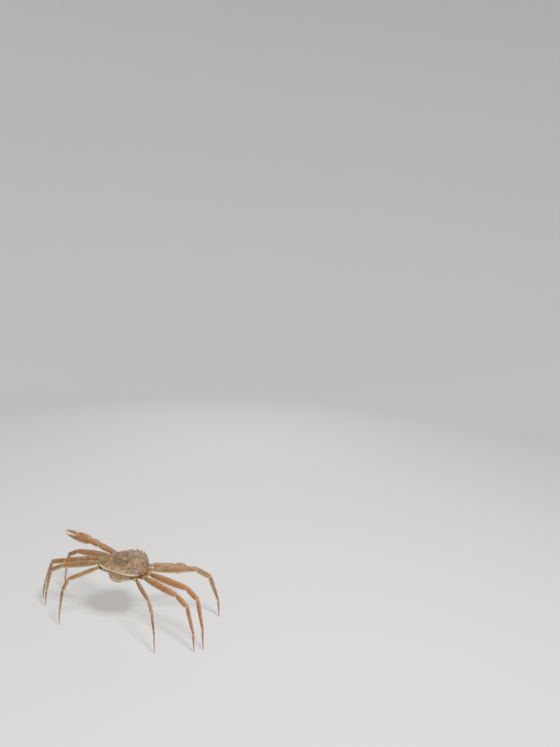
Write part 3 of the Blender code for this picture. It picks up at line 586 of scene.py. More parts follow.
class Finish:
    """A material in the making: each method adds a node on object coordinates and gives its output.

    An input is a number, a colour or another node's output.
    """

    def __init__(self, name):
        self.material = bpy.data.materials.new(name)
        self.material.use_nodes = True
        self.tree = self.material.node_tree
        self.place = self.node("TexCoord", "Object", {})

    def put(self, socket, value):
        if isinstance(value, bpy.types.NodeSocket):
            self.tree.links.new(value, socket)
        elif hasattr(value, "__len__"):
            socket.default_value = (*value[:3], 1)[:len(socket.default_value)]
        else:
            socket.default_value = value

    def node(self, kind, output, inputs, **settings):
        node = self.tree.nodes.new("ShaderNode" + kind)
        for key, value in settings.items():
            setattr(node, key, value)
        for key, value in inputs.items():
            self.put(node.inputs[key], value)
        return node.outputs[output]

    def math(self, operation, first, second):
        return self.node("Math", 0, {0: first, 1: second}, operation=operation)

    def mix(self, factor, low, high):
        """A colour: low where the factor is 0, high where it is 1."""
        return self.node("Mix", 2, {0: factor, 6: low, 7: high}, data_type="RGBA")

    def ramp(self, source, low, high):
        """A smooth step that takes low to 0 and high to 1."""
        return self.node("MapRange", "Result", {"Value": source, "From Min": low, "From Max": high},
                         interpolation_type="SMOOTHSTEP")

    def spread(self, source, low, high):
        """A number between low and high as the source goes from 0 to 1."""
        return self.node("MapRange", "Result", {"Value": source, "To Min": low, "To Max": high})

    def noise(self, scale, detail=4, roughness=0.55):
        return self.node("TexNoise", "Fac", {"Vector": self.place, "Scale": scale, "Detail": detail,
                                             "Roughness": roughness})

    def cells(self, scale, randomness=1):
        """Distance to the nearest of many scattered points."""
        return self.node("TexVoronoi", "Distance", {"Vector": self.place, "Scale": scale,
                                                    "Randomness": randomness})

    def attribute(self, name):
        return self.node("Attribute", "Fac", {}, attribute_name=name)

    def bump(self, height, strength, distance):
        return self.node("Bump", "Normal", {"Strength": strength, "Distance": distance, "Height": height})

    def shade(self, inputs):
        """The finished material, with these inputs of its shader."""
        for key, value in inputs.items():
            self.put(self.tree.nodes["Principled BSDF"].inputs[key], value)
        return self.material


def shell_material(name, base, colours, gloss, clouding=0.6):
    """Crab shell: base colour clouded with a darker one, warm where it swells, pale below and at joints, and
    darker in its hollows as painted shade.

    Two sizes of noise break the colours up, fine specks darken it, and grains of about a millimetre
    stand in the bump.
    """
    finish = Finish(name)
    warm, dark, pale = colours.warm, colours.dark, colours.pale
    clouds = finish.noise(38, 5, 0.65)
    patches = finish.noise(150, 4, 0.6)
    specks = finish.noise(900, 3, 0.6)
    colour = finish.mix(finish.ramp(clouds, 0.4, 0.58), mixed(base, dark, clouding), base)
    for factor, share, over in (
        (finish.ramp(patches, 0.5, 0.66), 0.6, mixed(base, pale, 0.38)),
        (finish.attribute("tone"), finish.ramp(patches, 0.2, 0.6), warm),
        # Painted shade: dark brown laid into hollows, grooves, seams and sockets; the same attribute also
        # holds the real dark of the feet's horny tips
        (finish.attribute("groove"), 0.75, dark),
        (finish.attribute("wart"), 0.6, mixed(warm, pale, 0.45)),
        (finish.ramp(specks, 0.54, 0.68), 0.45, dark),
    ):
        colour = finish.mix(finish.math("MULTIPLY", factor, share), colour, over)
    veil = finish.math("ADD", finish.attribute("pale"), finish.math("MULTIPLY", patches, 0.5))
    grains = finish.ramp(finish.cells(800, 0.9), 0.55, 0.1)
    rise = finish.math("ADD", grains, finish.math("MULTIPLY", specks, 0.8))
    return finish.shade({
        "Base Color": finish.mix(finish.ramp(veil, 0.55, 1.1), colour, pale),
        "Roughness": finish.spread(patches, gloss, gloss + 0.22),
        "Normal": finish.bump(rise, 0.6, 0.0004),
        "Coat Weight": 0.08, "Coat Roughness": 0.35, "Specular IOR Level": 0.38,
    })


def plain_material(name, low, high, scale, gloss, bump_height, softness=0):
    """A smoother finish: two near colours clouded by noise, with a light bump of a finer noise."""
    finish = Finish(name)
    clouds = finish.noise(scale, 4, 0.6)
    return finish.shade({
        "Base Color": finish.mix(finish.ramp(clouds, 0.3, 0.7), low, high),
        "Roughness": finish.spread(clouds, gloss, gloss + 0.15),
        "Normal": finish.bump(finish.noise(scale * 6, 3, 0.6), 0.4, bump_height),
        "Subsurface Weight": softness, "Subsurface Radius": (0.004, 0.002, 0.001),
    })


def eye_material(name, colour):
    """Glossy dark eye: fine facets from a cell pattern, clouded towards a brown."""
    finish = Finish(name)
    brown = tuple(2 * part + 0.004 for part in colour)
    return finish.shade({
        "Base Color": finish.mix(finish.ramp(finish.noise(500), 0.35, 0.75), colour, brown),
        "Normal": finish.bump(finish.cells(3600), 0.25, 0.00005),
        "Roughness": 0.22, "Coat Weight": 0.4, "Coat Roughness": 0.06,
    })


def floor_material(colour):
    """Matte floor: noise between the colour and one a little darker."""
    finish = Finish("floor_matte")
    darker = tuple(0.97 * part for part in colour)
    return finish.shade({"Base Color": finish.mix(finish.noise(3), darker, colour), "Roughness": 0.7})


def limb_materials(colours, prefix, **glosses):
    """Finishes of a kind of limb: its roots, its joint skins and each kind of shell that it has."""
    names = {"root": prefix + "root_shell", **{kind: kind + "_shell" for kind in glosses}}
    shells = {kind: shell_material(name, colours.leg, colours, glosses.get(kind, BELLY_GLOSS))
              for kind, name in names.items()}
    skin = plain_material(prefix + "joint_skin", colours.pale, colours.leg, 220, 0.45, 0.0003, 0.15)
    return {"skin": skin, **shells}


# Limbs

# Looks of each limb piece. power: of its superellipse; ridge: along both edges; rim: how far its ends draw
# in; furrow: depth along the middle; granule and grain: size and height of its granules; beads: height of
# those along the edges; warm: orange at four places along it; under: paleness below; bow: how far it arches;
# collar: the swelling before its far end; dome: length over which its start rounds off; horn: dark tip
ROOT_LOOK = dict(rim=0.1, ridge=0.02, furrow=0.25, granule=0.75, grain=0.25, beads=0.3,
                 warm=(0.05, 0.05, 0.15, 0.2), under=0.9, collar=0.5, dome=6)
ARM_LOOK = dict(power=2.1, granule=1.05, grain=0.65, warm=(0.2, 0.35, 0.5, 0.6))
# Straight pieces: name, girths, rows and columns, finish, its look, and the spines along each of its rows,
# which are how many, the first and last place, height and radius in mm
LEG_PIECES = (
    ("merus", MERUS, (150, 72), "leg",
     dict(power=2.1, ridge=0.1, rim=0.13, furrow=0.3, granule=0.9, grain=0.5, beads=0.8,
          warm=(0, 0.05, 0.38, 0.45), under=0.85, bow=LEG_BOW),
     (17, 0.08, 0.94, 1, 0.62)),
    ("carpus", CARPUS, (70, 64), "leg",
     dict(ridge=0.07, furrow=0.7, granule=0.85, grain=0.42, beads=0.6, warm=(0.25, 0.2, 0.28, 0.35)),
     (8, 0.16, 0.88, 0.9, 0.6)),
    ("propodus", PROPODUS, (96, 60), "leg",
     dict(power=2.3, ridge=0.07, rim=0.1, furrow=0.5, granule=0.75, grain=0.24, beads=0.4,
          warm=(0.2, 0.2, 0.35, 0.5), collar=0.8),
     (10, 0.1, 0.9, 0.55, 0.45)),
    ("dactylus", DACTYLUS, (80, 48), "foot",
     dict(power=2.3, ridge=0.05, rim=0.08, furrow=0.4, granule=0.55, grain=0.1, beads=0.15,
          warm=(0.35, 0.55, 0.9, 1), under=0.3, bow=LEG_BOW, collar=0, horn=11), None),
)
ARM_PIECES = (
    ("merus", ARM_MERUS, (110, 72), "claw", ARM_LOOK, (7, 0.16, 0.86, 1.9, 1)),
    ("carpus", ARM_CARPUS, (70, 72), "claw", ARM_LOOK, (5, 0.16, 0.86, 1.9, 1)),
)
HALVINGS = 60
ROOT_GRID = (44, 64)
SKIN_GRID = (14, 28)
SKIN_DEPTH = 3.4
# How deep a limb's root reaches into the thorax
ROOT_SUNK = 3
# Directions round a piece in which its rows of spines stand
LEG_SPINE_TURNS = (0, 180)
ARM_SPINE_TURNS = (20, 55, 90, 128, 200)
# Extra orange on the upper parts of the legs that are orange in the photograph
ORANGE_LEGS = {("right", 3): 0.55, ("right", 4): 0.35}
# Widths of the joint skins at the hand's root and at the moving finger's hinge, and where that hinge lies
HAND_SKIN = (11, 12.4)
HINGE_SKIN = (10.4, 12)
HINGE_ALONG = 46.6
HINGE_UP = 5.8
# Rows and columns of the hand and its two fingers, and the fixed finger's first place in mm
HAND_GRID = (70, 84)
FIXED_GRID = (66, 84)
MOVING_GRID = (66, 72)
FIXED_START = 47.4
# Rows of the hand that lean onto the joint's plane
HAND_LEAN_ROWS = 13


def aim(side, heading, pitch):
    return np.array([side * cos(heading) * cos(pitch), -sin(heading) * cos(pitch), sin(pitch)])


def cross_axes(side, heading, pitch, twist):
    """Width and thickness directions of a limb piece, turned about its length by the twist."""
    ahead = np.array([-side * sin(heading), -cos(heading), 0])
    upward = np.array([-side * cos(heading) * sin(pitch), sin(heading) * sin(pitch), cos(pitch)])
    return ahead * cos(twist) + upward * sin(twist), upward * cos(twist) - ahead * sin(twist)


def joint_plane(before, after):
    return unit(before + after)


def limb_points(side_name, number):
    """Joints of a limb from the merus root on, and each piece's heading and pitch.

    A walking leg's carpus pitch is found by halving, so that the foot comes down at floor level.
    """
    side = SIDES[side_name]
    root = on_side(side, (*LIMBS[number]["root"], 0))

    def chain(turns):
        steps = [length * aim(side, *turn) for length, turn in zip(LIMBS[number]["lengths"], turns)]
        return np.vstack([root, root + np.cumsum(steps, axis=0)]), turns

    if number == CLAW_ARM:
        return chain([(radians(heading), radians(pitch)) for heading, pitch in REACH[side_name]])
    heading, pitch, outer_heading, bend_one, bend_two = map(radians, STANCE[side_name, number])

    def leg(carpus_pitch):
        return chain((
            (heading, pitch),
            ((heading + outer_heading) / 2, carpus_pitch),
            (outer_heading, carpus_pitch + bend_one),
            (outer_heading, carpus_pitch + bend_one + bend_two),
        ))

    low, high = radians(-90) - bend_one, radians(40)
    for _ in range(HALVINGS):
        middle = (low + high) / 2
        low, high = (low, middle) if leg(middle)[0][-1][2] > 0 else (middle, high)
    return leg(low)


def sizes_along(profile, places):
    """Measures of a piece at these places, smooth between the rows of its table."""
    table = np.array(profile)
    return through(table[:, 0], table[:, 1:], places)


def limb_tube(start, end, planes, axes, profile, girth, grid, seed, warm, granule, grain, power=2.2, ridge=0,
              rim=0.12, furrow=0, beads=0, under=0.75, bow=0, collar=1, dome=0, horn=0):
    """One limb piece: rings of its profile along a line, sheared onto the joint planes at its ends.

    Each ring is a superellipse with a ridge along both edges, and rows lie closer together towards both
    ends. The last few mm draw in to a rounded rim, and granules stand along the normal. The colour
    attributes say where it is warm or pale, where its furrow is darkened as painted shade, and where its
    horny tip is dark.
    """
    rows, columns = grid
    wide, thick = axes
    length = np.linalg.norm(end - start)
    along = (end - start) / length
    even = np.linspace(0, 1, rows)
    places = 0.4 * even + 0.6 * (0.5 - 0.5 * np.cos(pi * even))
    near, far = places * length, (1 - places) * length
    from_end = np.minimum(near, far)
    swelling = 0.05 * bell(far - 3.4, 1.9) - 0.045 * bell(far - 7.4, 1.7)
    sizes = sizes_along(profile, places) * girth * (1 + swelling * collar)[:, None]
    if dome:
        sizes = sizes * np.sqrt(1 - 0.97 * (1 - np.clip(near / dome, 0, 1)) ** 2)[:, None]
    turn, x, y = superellipse(columns, power)
    if np.cross(wide, thick) @ along < 0:
        y = -y
    edge = bell(np.sin(turn), 0.3)
    drawn_in = 1 - rim * (1 - smoothstep(0, 2.2, from_end))
    channel = np.outer(smoothstep(2, 9, from_end), bell(np.cos(turn), 0.32))
    across = np.outer(sizes[:, 0] / 2 * drawn_in, x * (1 + ridge * edge))
    deep = ((sizes[:, 1] / 2 * drawn_in)[:, None] - furrow * channel) * y
    offset = across[..., None] * wide + deep[..., None] * thick
    middle = start + np.outer(near, along) + np.outer(bow * 4 * places * (1 - places), thick)
    points = middle[:, None, :] + offset
    for plane, sign, distance in zip(planes, (1, -1), (near, far)):
        if plane is not None:
            share = 1 - smoothstep(0, min(14, 0.45 * length), distance)
            lean = (sign * JOINT_GAP / 2 - offset @ plane) / (along @ plane)
            points = points + (lean * share[:, None])[..., None] * along
    normal = grid_normals(points)
    upper = smoothstep(-0.5, 0.35, normal[..., 2])
    perimeter = pi * (sizes[:, 0].mean() + sizes[:, 1].mean()) / 2
    cells = max(6, int(perimeter / (2.6 * granule)))
    bead_cells = max(4, cells // 2)
    u, v = turn / (2 * pi) * perimeter, near[:, None] + 40
    fine = warts(u, v, perimeter / cells, 1.05 * granule, seed, cells, 0.85)
    large = warts(u, v, perimeter / bead_cells, 1.5 * granule, seed + 50, bead_cells) * edge
    height = (fine * grain * (0.25 + 0.75 * upper) + large * beads) * smoothstep(0.5, 4, from_end)[:, None]
    tip = smoothstep(horn, 0.3 * horn, far)[:, None] if horn else 0
    warmth = np.interp(places, (0, 0.3, 0.75, 1), warm)[:, None]
    return closed_tube(
        points + normal * height[..., None],
        wart=np.clip(fine * 0.9 + large, 0, 1) * (0.25 + 0.75 * upper),
        # Painted shade along the furrow, and the real dark of the horny tip
        groove=0.5 * channel * (furrow > 0) + tip,
        pale=((1 - upper) * under + 0.5 * bell(from_end, 1.5)[:, None]) * (1 - tip),
        tone=warmth * (0.3 + 0.7 * upper))


def spine_rows(start, end, axes, profile, girth, places, turns, height, radius):
    """Rows of spines on a limb piece: each foot lies on the profile's ellipse at its place and turn."""
    sizes = sizes_along(profile, places) * girth / 2
    feet, outwards = [], []
    for turn in np.radians(turns):
        a, b = np.cos(turn) * axes[0], np.sin(turn) * axes[1]
        offset = np.outer(sizes[:, 0], a) + np.outer(sizes[:, 1], b)
        feet.append(start + np.outer(places, end - start) + offset * 0.985)
        outwards.append(np.tile(a + b + 0.35 * unit(end - start), (len(places), 1)))
    count = len(turns) * len(places)
    return cones_on(np.vstack(feet), np.vstack(outwards), np.resize(height, count),
                    np.resize(radius, count), sides=6)


def joint_skins(centres, normals, axes, sizes):
    """Soft wrinkled skin inside each joint: an ellipsoid across it, a little smaller than its plates."""
    return joined([
        closed_tube(ellipsoid(centre, normal * SKIN_DEPTH, wide * width / 2, thick * depth / 2,
                              SKIN_GRID, 0.6, 0.03), pale=1)
        for centre, normal, (wide, thick), (width, depth) in zip(centres, normals, axes, sizes)])


def root_tube(side, number, joint, first_way, seed):
    """Coxa to ischium: a short tube from inside the thorax to the plane where the merus begins."""
    limb = LIMBS[number]
    socket = on_side(side, (*limb["socket"], SOCKET_HEIGHT))
    way = unit(joint - socket)
    axes = cross_axes(side, atan2(-way[1], side * way[0]), asin(way[2]), 0)
    return limb_tube(socket - way * ROOT_SUNK, joint, (None, joint_plane(way, first_way)), axes, COXA,
                     limb["girth"] ** 0.5, ROOT_GRID, seed, **ROOT_LOOK), way


def finger_grid(joint, way, axes, profile, first, grid, pointed=True):
    """Rings of a hand or finger from its middle's height, half height and half thickness.

    A pointed one closes over its last 3 mm as a quarter ellipse does.
    """
    thick, upward = axes
    places = np.linspace(first, profile[-1][0], grid[0])
    rise, half_height, half_thick = sizes_along(profile, places).T
    _, x, y = superellipse(grid[1], 2.2)
    if np.cross(thick, upward) @ way < 0:
        y = -y
    left_over = np.clip((places[-1] - places) / (3 if pointed else 1.6), 0, 1)
    tip = np.sqrt(1 - (1 - left_over) ** 2 * (0.98 if pointed else 0.25))
    drawn = tip * (1 - 0.1 * (1 - smoothstep(0, 1.8, places - places[0])))
    channel = 0.06 * bell(y, 0.22) * smoothstep(0.35, 0.5, places / places[-1])[:, None]
    return swept(joint + np.outer(places, way) + np.outer(rise, upward), thick, upward,
                 (half_thick * drawn)[:, None] * (x - np.sign(x) * channel), np.outer(half_height * drawn, y))


def claw_surface(grid, seed, warm, pale_from, grain):
    """Granules and colours of a hand or finger: fine beads above, smooth and pale towards the tips."""
    columns = grid.shape[1]
    normal = grid_normals(grid)
    places = np.linalg.norm(grid.mean(axis=1) - grid[0].mean(axis=0), axis=1)[:, None]
    fine = warts(np.arange(columns) / columns * 60, places + 30, 2.4, 1.15, seed, 25, 0.8)
    upper = smoothstep(-0.5, 0.35, normal[..., 2])
    fade = 1 - smoothstep(pale_from - 14, pale_from, places)
    tip = smoothstep(pale_from, pale_from + 22, places)
    return closed_tube(
        grid + normal * (fine * grain * fade * (0.3 + 0.7 * upper))[..., None],
        wart=fine * upper * fade, pale=(1 - upper) * 0.7 + tip * 0.75,
        tone=warm * (0.3 + 0.7 * upper) * (1 - 0.6 * tip))


def finger_teeth(joint, way, upward, profile, facing):
    """Blunt teeth along a finger's cutting edge."""
    teeth = np.array(TEETH)
    rise, half_height, _ = sizes_along(profile, teeth[:, 0]).T
    feet = joint + teeth[:, :1] * way + np.outer(rise + facing * half_height * 0.96, upward)
    return cones_on(feet, np.tile(upward * facing, (len(feet), 1)), teeth[:, 1] * 0.85, teeth[:, 2] * 0.85,
                    12, TOOTH_RINGS, wart=0, pale=0.7)


def claw_shells(label, joint, way, plane, axes, seed, material):
    """The hand with its fixed finger, and the moving finger, each with its teeth."""
    palm = finger_grid(joint, way, axes, HAND, 0, HAND_GRID, pointed=False)
    fixed = finger_grid(joint, way, axes, FIXED_FINGER, FIXED_START, FIXED_GRID)
    moving = finger_grid(joint, way, axes, MOVING_FINGER, MOVING_FINGER[0][0], MOVING_GRID)
    shares = smoothstep(0, 1, np.linspace(0, 1, 8)[1:-1])[:, None, None]
    hand = np.concatenate([palm, palm[-1] * (1 - shares) + fixed[0] * shares, fixed])
    lean = (JOINT_GAP / 2 - (hand[0] - joint) @ plane) / (way @ plane)
    hand[:HAND_LEAN_ROWS] += np.outer(np.linspace(1, 0, HAND_LEAN_ROWS), lean)[..., None] * way
    for name, grid, profile, facing, more, warm, pale_from, grain in (
        ("hand", hand, FIXED_FINGER, 1, 5, 0.5, 60, 0.6),
        ("finger", moving, MOVING_FINGER, -1, 6, 0.55, 16, 0.4),
    ):
        shell = claw_surface(grid, seed + more, warm, pale_from, grain)
        teeth = finger_teeth(joint, way, axes[1], profile, facing)
        dress("%s_%s" % (label, name), [shell, teeth], material, "claw_shell")


def limb_shells(side_name, number, spine_scale, materials):
    """One limb: its root, its straight pieces with spines, a claw's hand and finger, and joint skins."""
    side, arm = SIDES[side_name], number == CLAW_ARM
    label = "%s_%s" % (LIMB_NAMES[number], side_name)
    girth = 1 if arm else LIMBS[number]["girth"]
    seed = (700 if side > 0 else 800) if arm else 100 * number + (10 if side > 0 else 40)
    joints, turns = limb_points(side_name, number)
    ways = [aim(side, *turn) for turn in turns]
    root, way = root_tube(side, number, joints[0], ways[0], seed)
    dress(label + "_root", [root], materials["root"], "leg_shell")
    planes = [joint_plane(a, b) for a, b in zip([way] + ways[:-1], ways)] + [None]
    axes = [cross_axes(side, *turn, 0 if arm else LEG_TWIST) for turn in turns]
    skin_sizes = []
    for k, (part, profile, grid, kind, look, spines) in enumerate(ARM_PIECES if arm else LEG_PIECES):
        orange = ORANGE_LEGS.get((side_name, number), 0) * np.array((k > 0, 1, 1, 1))
        look = dict(look, warm=np.minimum(look["warm"] + orange, 1))
        tube = limb_tube(joints[k], joints[k + 1], planes[k:k + 2], axes[k], profile, girth, grid,
                         seed + k + 1, **look)
        parts = [tube]
        if spines:
            count, first, last, height, radius = spines
            mean, swing, phase = (0.8, 0.3, k) if arm else (0.75, 0.25, 0)
            grow = girth * spine_scale * (mean + swing * np.cos(np.arange(count) * 2.4 + phase))
            bow = axes[k][1] * look.get("bow", 0) * 0.8
            turned = ARM_SPINE_TURNS if arm else LEG_SPINE_TURNS
            parts.append(spine_rows(joints[k] + bow, joints[k + 1] + bow, axes[k], profile, girth,
                                    np.linspace(first, last, count), turned, height * grow, radius * grow))
        else:
            tube[0][:, 2] = np.maximum(tube[0][:, 2], 0)
        dress("%s_%s" % (label, part), parts, materials[kind], kind + "_shell")
        skin_sizes.append(np.array(profile[0][1:]) * girth * (0.88 if arm else 0.86))
    if arm:
        joint, way = joints[2], ways[2]
        claw_shells(label, joint, way, planes[2], axes[2], seed, materials["claw"])
        joints = [*joints[:3], joint + way * HINGE_ALONG + axes[2][1] * HINGE_UP]
        planes[3:], axes[3:] = [way], [axes[2]]
        skin_sizes += [HAND_SKIN, HINGE_SKIN]
    skins = joint_skins(joints[:4], planes[:4], axes, skin_sizes)
    mesh_piece(label + "_joint_skins", [skins], materials["skin"], "belly_shell")


# Thorax, abdomen and mouth

# How far the rows of the abdomen and of the mouth plates lean, at the thorax's levels, and half widths
ABDOMEN_LEANS = (0, 5, 30, 58, 80)
ABDOMEN_HALF = (17, 16, 14.6, 13.2, 11.6)
# The abdomen under the breast: place forward and half width
ABDOMEN_UNDER = ((-24, 10.2), (-12, 8.6), (0, 6.6), (9, 4.4), (15, 2))
ABDOMEN_SEAMS = (0.1, 0.2, 0.31, 0.45, 0.6, 0.76)
ABDOMEN_CRESTS = (0.05, 0.15, 0.25)
ABDOMEN_ROWS = 170
ABDOMEN_COLUMNS = 96
JAW_LEANS = (0, 5, 30, 56)
JAW_OUTER = (14.5, 16, 15.5, 13)
JAW_FRONT = 45.2
JAW_ROWS = 72
JAW_COLUMNS = 56
ROD_COLUMNS = 24
PLATE_LIFT = 2.1
# Seams between the plates of the breast: where each starts near the middle line and ends at the side
BREAST_SEAMS = ((16, 13.5), (2, -0.5), (-12, -15), (-25, -28.5))
THORAX_COLUMNS = 240
# Rows of the thorax's flat top, its wall and its breast
THORAX_ROWS = (12, 40, 44)
PALP_ROUTE = ((7, 47.2, -1), (6, 49.2, -2.8), (4.4, 49.6, -6.6), (3.2, 49, -10.2), (2.6, 47.6, -13.2))
PALP_GRID = (48, 20)
PALP_GIRTH = ((0, 2.6), (0.28, 2.9), (0.34, 2.3), (0.58, 2.5), (0.64, 1.9), (1, 0.8))


def thorax_shell():
    """Levels of one smooth outline, closing in below to the flat breast, with seams between its plates."""
    ring = closed_curve(THORAX_HALF, THORAX_COLUMNS)
    levels = np.array(THORAX_LEVELS)
    above, wall, under = THORAX_ROWS
    heights, scales = through(np.linspace(0, 1, len(levels)), levels, np.linspace(0, 1, wall)).T
    top, breast = np.linspace(0.02, 0.97, above), np.linspace(0.68, 0.02, under)
    scales = np.concatenate([top, scales, breast])[:, None]
    height = np.concatenate([0 * top + levels[0, 0], heights, 0 * breast + levels[-1, 0]])[:, None]
    grid = np.dstack([HUB + (ring - HUB) * scales[..., None], np.tile(height, THORAX_COLUMNS)])
    x, y = np.abs(grid[..., 0]), grid[..., 1]
    below = smoothstep(-4, -16, height)
    paths = [((6, inner), (20, (inner + outer) / 2), (40, outer)) for inner, outer in BREAST_SEAMS]
    seam = np.max([bell(distance_to_path(x, y, path), 0.9) for path in paths], axis=0)
    fold = bell(height + 6.5 - 0.12 * (y - 25), 0.8) * smoothstep(8, 14, y) * smoothstep(13, 17, x)
    seam = np.maximum(seam * smoothstep(2, -4, height), 0.8 * fold)
    normal = grid_normals(grid)
    grid = grid - normal * (1.2 * seam)[..., None]
    swell = np.cos(np.clip((y + 4) / 13.5, -3, 3) * 2 * pi) * 0.25 * below
    run = np.arange(THORAX_COLUMNS) / THORAX_COLUMNS * 240
    grains = warts(run, run_along(grid[:, 0])[:, None], 2.5, 1.1, 61, 96, 0.8) * smoothstep(1, 0.2, below)
    grid = grid + normal * (swell + 0.4 * grains)[..., None]
    # Painted shade: darker along the seams between the plates and along the fold, by dark brown there and by
    # less paleness
    return closed_tube(body(grid), wart=grains, groove=0.6 * seam,
                       pale=(0.45 + 0.45 * below) * (1 - 0.35 * seam), tone=0.15 * (1 - below))


def wall_path(edge_y, leans, sign, lift):
    """Places just off the thorax's front or rear wall, one for each lean at its levels, and their facing."""
    lean = np.radians(leans)
    height, scale = np.array(THORAX_LEVELS[:len(leans)]).T
    faces = np.column_stack([0 * lean, sign * np.cos(lean), -np.sin(lean)])
    places = np.column_stack([0 * lean, HUB[1] + (edge_y - HUB[1]) * scale, height - JOINT_GAP])
    return places + faces * lift, faces


def plate_frame(knots, rows, faces, half, count, closing_share):
    """A plate's even steps, path, facing and half width there, and how far its round ends have opened."""
    steps = np.linspace(0, 1, count)
    opened = np.clip(np.minimum(steps, 1 - steps) / closing_share, 0, 1)
    path, outward, width = (through(knots, values, steps) for values in (rows, faces, half))
    return steps, path, unit(outward), width, np.sqrt(1 - (1 - opened) ** 2)


def swept_plate(path, across, outward, half_width, half_thickness, columns, power, bend=0):
    """A plate along a path: flat superellipse rings whose edges bend inwards with the square of the width."""
    _, x, y = superellipse(columns, power)
    side = np.outer(half_width, x)
    return swept(path, across, outward, side, np.outer(half_thickness, y) - bend * side ** 2)


def outer_face(grid, outward, sign=1):
    """1 on a plate's outer face and 0 on its inner one."""
    return smoothstep(0, 0.5, np.einsum("ijk,ik->ij", grid_normals(grid) * sign, outward))


def abdomen_shell():
    """The tail flap: seven plates down the rear wall and forward under the breast, with seams between."""
    rows, faces = wall_path(THORAX_HALF[0][1], ABDOMEN_LEANS, -1, PLATE_LIFT)
    forward, half = np.array(ABDOMEN_UNDER).T
    under = np.column_stack([0 * forward, forward, 0 * forward + THORAX_LEVELS[-1][0] - PLATE_LIFT])
    rows = np.vstack([rows, under])
    faces = np.vstack([faces, np.tile((0, 0, -1), (len(under), 1))])
    knots = run_along(rows)
    steps, path, outward, width, closing = plate_frame(
        knots / knots[-1], rows, faces, np.concatenate([ABDOMEN_HALF, half]), ABDOMEN_ROWS, 0.02)
    seam = np.max([bell(steps - place, 0.009) for place in ABDOMEN_SEAMS], axis=0)
    bounds = np.array((0, *ABDOMEN_SEAMS, 1))
    turns = np.sort(np.concatenate([bounds, (bounds[:-1] + bounds[1:]) / 2]))
    bulge = np.interp(steps, turns, np.arange(len(turns)) % 2)
    width = width * (0.9 + 0.1 * closing) * (0.955 + 0.045 * np.sin(bulge * pi / 2))
    thickness = 1.7 * (0.35 + 0.65 * closing) * (1 - 0.42 * seam)
    grid = swept_plate(path, (1, 0, 0), outward, width, thickness, ABDOMEN_COLUMNS, 2.7, bend=0.01)
    first = smoothstep(0.34, 0.16, steps)[:, None]
    crest = np.max([bell(steps - place, 0.02) for place in ABDOMEN_CRESTS], axis=0)[:, None]
    seam = seam[:, None]
    u = np.arange(ABDOMEN_COLUMNS) / ABDOMEN_COLUMNS * 72
    knobs = warts(u, steps[:, None] * 110, 3, 1.4, 91, 24)
    outside = outer_face(grid, outward)
    height = first * (0.9 * knobs + 0.7 * crest) + (1 - first) * 0.3 * knobs
    grid = grid + grid_normals(grid) * (outside * height)[..., None]
    # Painted shade: darker along the seams and between the crests of the first plates, where paleness is also
    # less
    return closed_tube(body(grid), wart=knobs * first * outside,
                       groove=0.6 * seam + 0.3 * first * (1 - crest),
                       pale=(0.56 + 0.3 * (1 - first)) * (1 - 0.4 * seam), tone=0.3 * first)


BRISTLE_RADIUS = 0.15


def bristles(feet, ways, length, seed):
    """Fine hairs in the body's frame: slim cones of five sides whose way and length vary a little."""
    draw = np.random.default_rng(seed)
    ways = ways + draw.normal(0, 0.16, ways.shape)
    lengths = length * draw.uniform(0.65, 1.1, len(feet))
    return cones_on(body(feet), body_direction(ways), lengths, np.full(len(feet), BRISTLE_RADIUS), sides=5)


def mouth_parts(side):
    """One outer mouthpart: its broad grooved plate, the rod beside it, its palp and its bristles."""
    rows, faces = wall_path(JAW_FRONT, JAW_LEANS, 1, PLATE_LIFT - 0.2)
    steps, path, outward, width, closing = plate_frame(
        np.linspace(0, 1, len(rows)), rows, faces, JAW_OUTER, JAW_ROWS, 0.07)
    seam = bell(steps - 0.36, 0.016)
    broad = 0.36 * width * (0.72 + 0.28 * closing)
    deeper = 1.6 * smoothstep(0.35, 0.9, steps)
    across = (side, 0, 0)

    def beside(x):
        """The path at this distance from the middle line, curved back there and set deeper below."""
        return path + np.column_stack([side * x, -0.0045 * x ** 2, 0 * x]) - outward * deeper[:, None]

    thickness = (1.5 + deeper) * (0.3 + 0.7 * closing) * (1 - 0.3 * seam)
    grid = swept_plate(beside(0.6 + broad), across, outward, broad, thickness, JAW_COLUMNS, 2.8, bend=0.012)
    x = np.abs(grid[..., 0]) / (2 * broad[:, None] + 0.6)
    outside = outer_face(grid, outward, side)
    channel = bell(x - 0.45, 0.1) * smoothstep(0.42, 0.5, steps)[:, None] * outside
    u = np.arange(JAW_COLUMNS) / JAW_COLUMNS * 24
    grains = warts(u, steps[:, None] * 24, 2, 0.95, 83, 12, 0.8) * outside
    grid = grid + outward[:, None, :] * (0.4 * grains - 0.7 * channel)[..., None]
    # Painted shade along the plate's channel and its seam
    plate = closed_tube(body(grid), wart=0.8 * grains, groove=0.8 * channel + seam[:, None],
                        pale=0.5, tone=0.3)
    thin = 1.25 * (0.5 + 0.5 * closing)
    rod = swept_plate(beside(2 * broad + 2.1), across, outward, thin + 0.3 * deeper, thin + deeper,
                      ROD_COLUMNS, 2)
    palp = round_piece(on_side(side, PALP_ROUTE), PALP_GIRTH, PALP_GRID, pale=0.4, tone=0.35)
    edge = np.linspace(8, 66, 44).astype(int)
    ways = outward[edge] * (1, 0.9, 0.9) - (0.15 * side, 0, 0.45)
    fringe = bristles(grid[edge, JAW_COLUMNS // 2], ways, 1.7, 31)
    route = np.array(PALP_ROUTE) * (side, 1, 1)
    ends = through(np.linspace(0, 1, len(route)), route, np.linspace(0.62, 1, 26))
    brush = bristles(ends, np.tile((-0.35 * side, 0.75, -0.8), (len(ends), 1)), 2, 37)
    return [plate, closed_tube(body(rod), pale=0.5, tone=0.4), palp, fringe, brush]


# Face

EYE_CENTRE = (17.6, 51.2, 13)
EYE_ROOT = (15.6, 43, 9.6)
EYE_REACH = 3.4
EYE_RADIUS = 3.35
EYE_GRID = (26, 40)
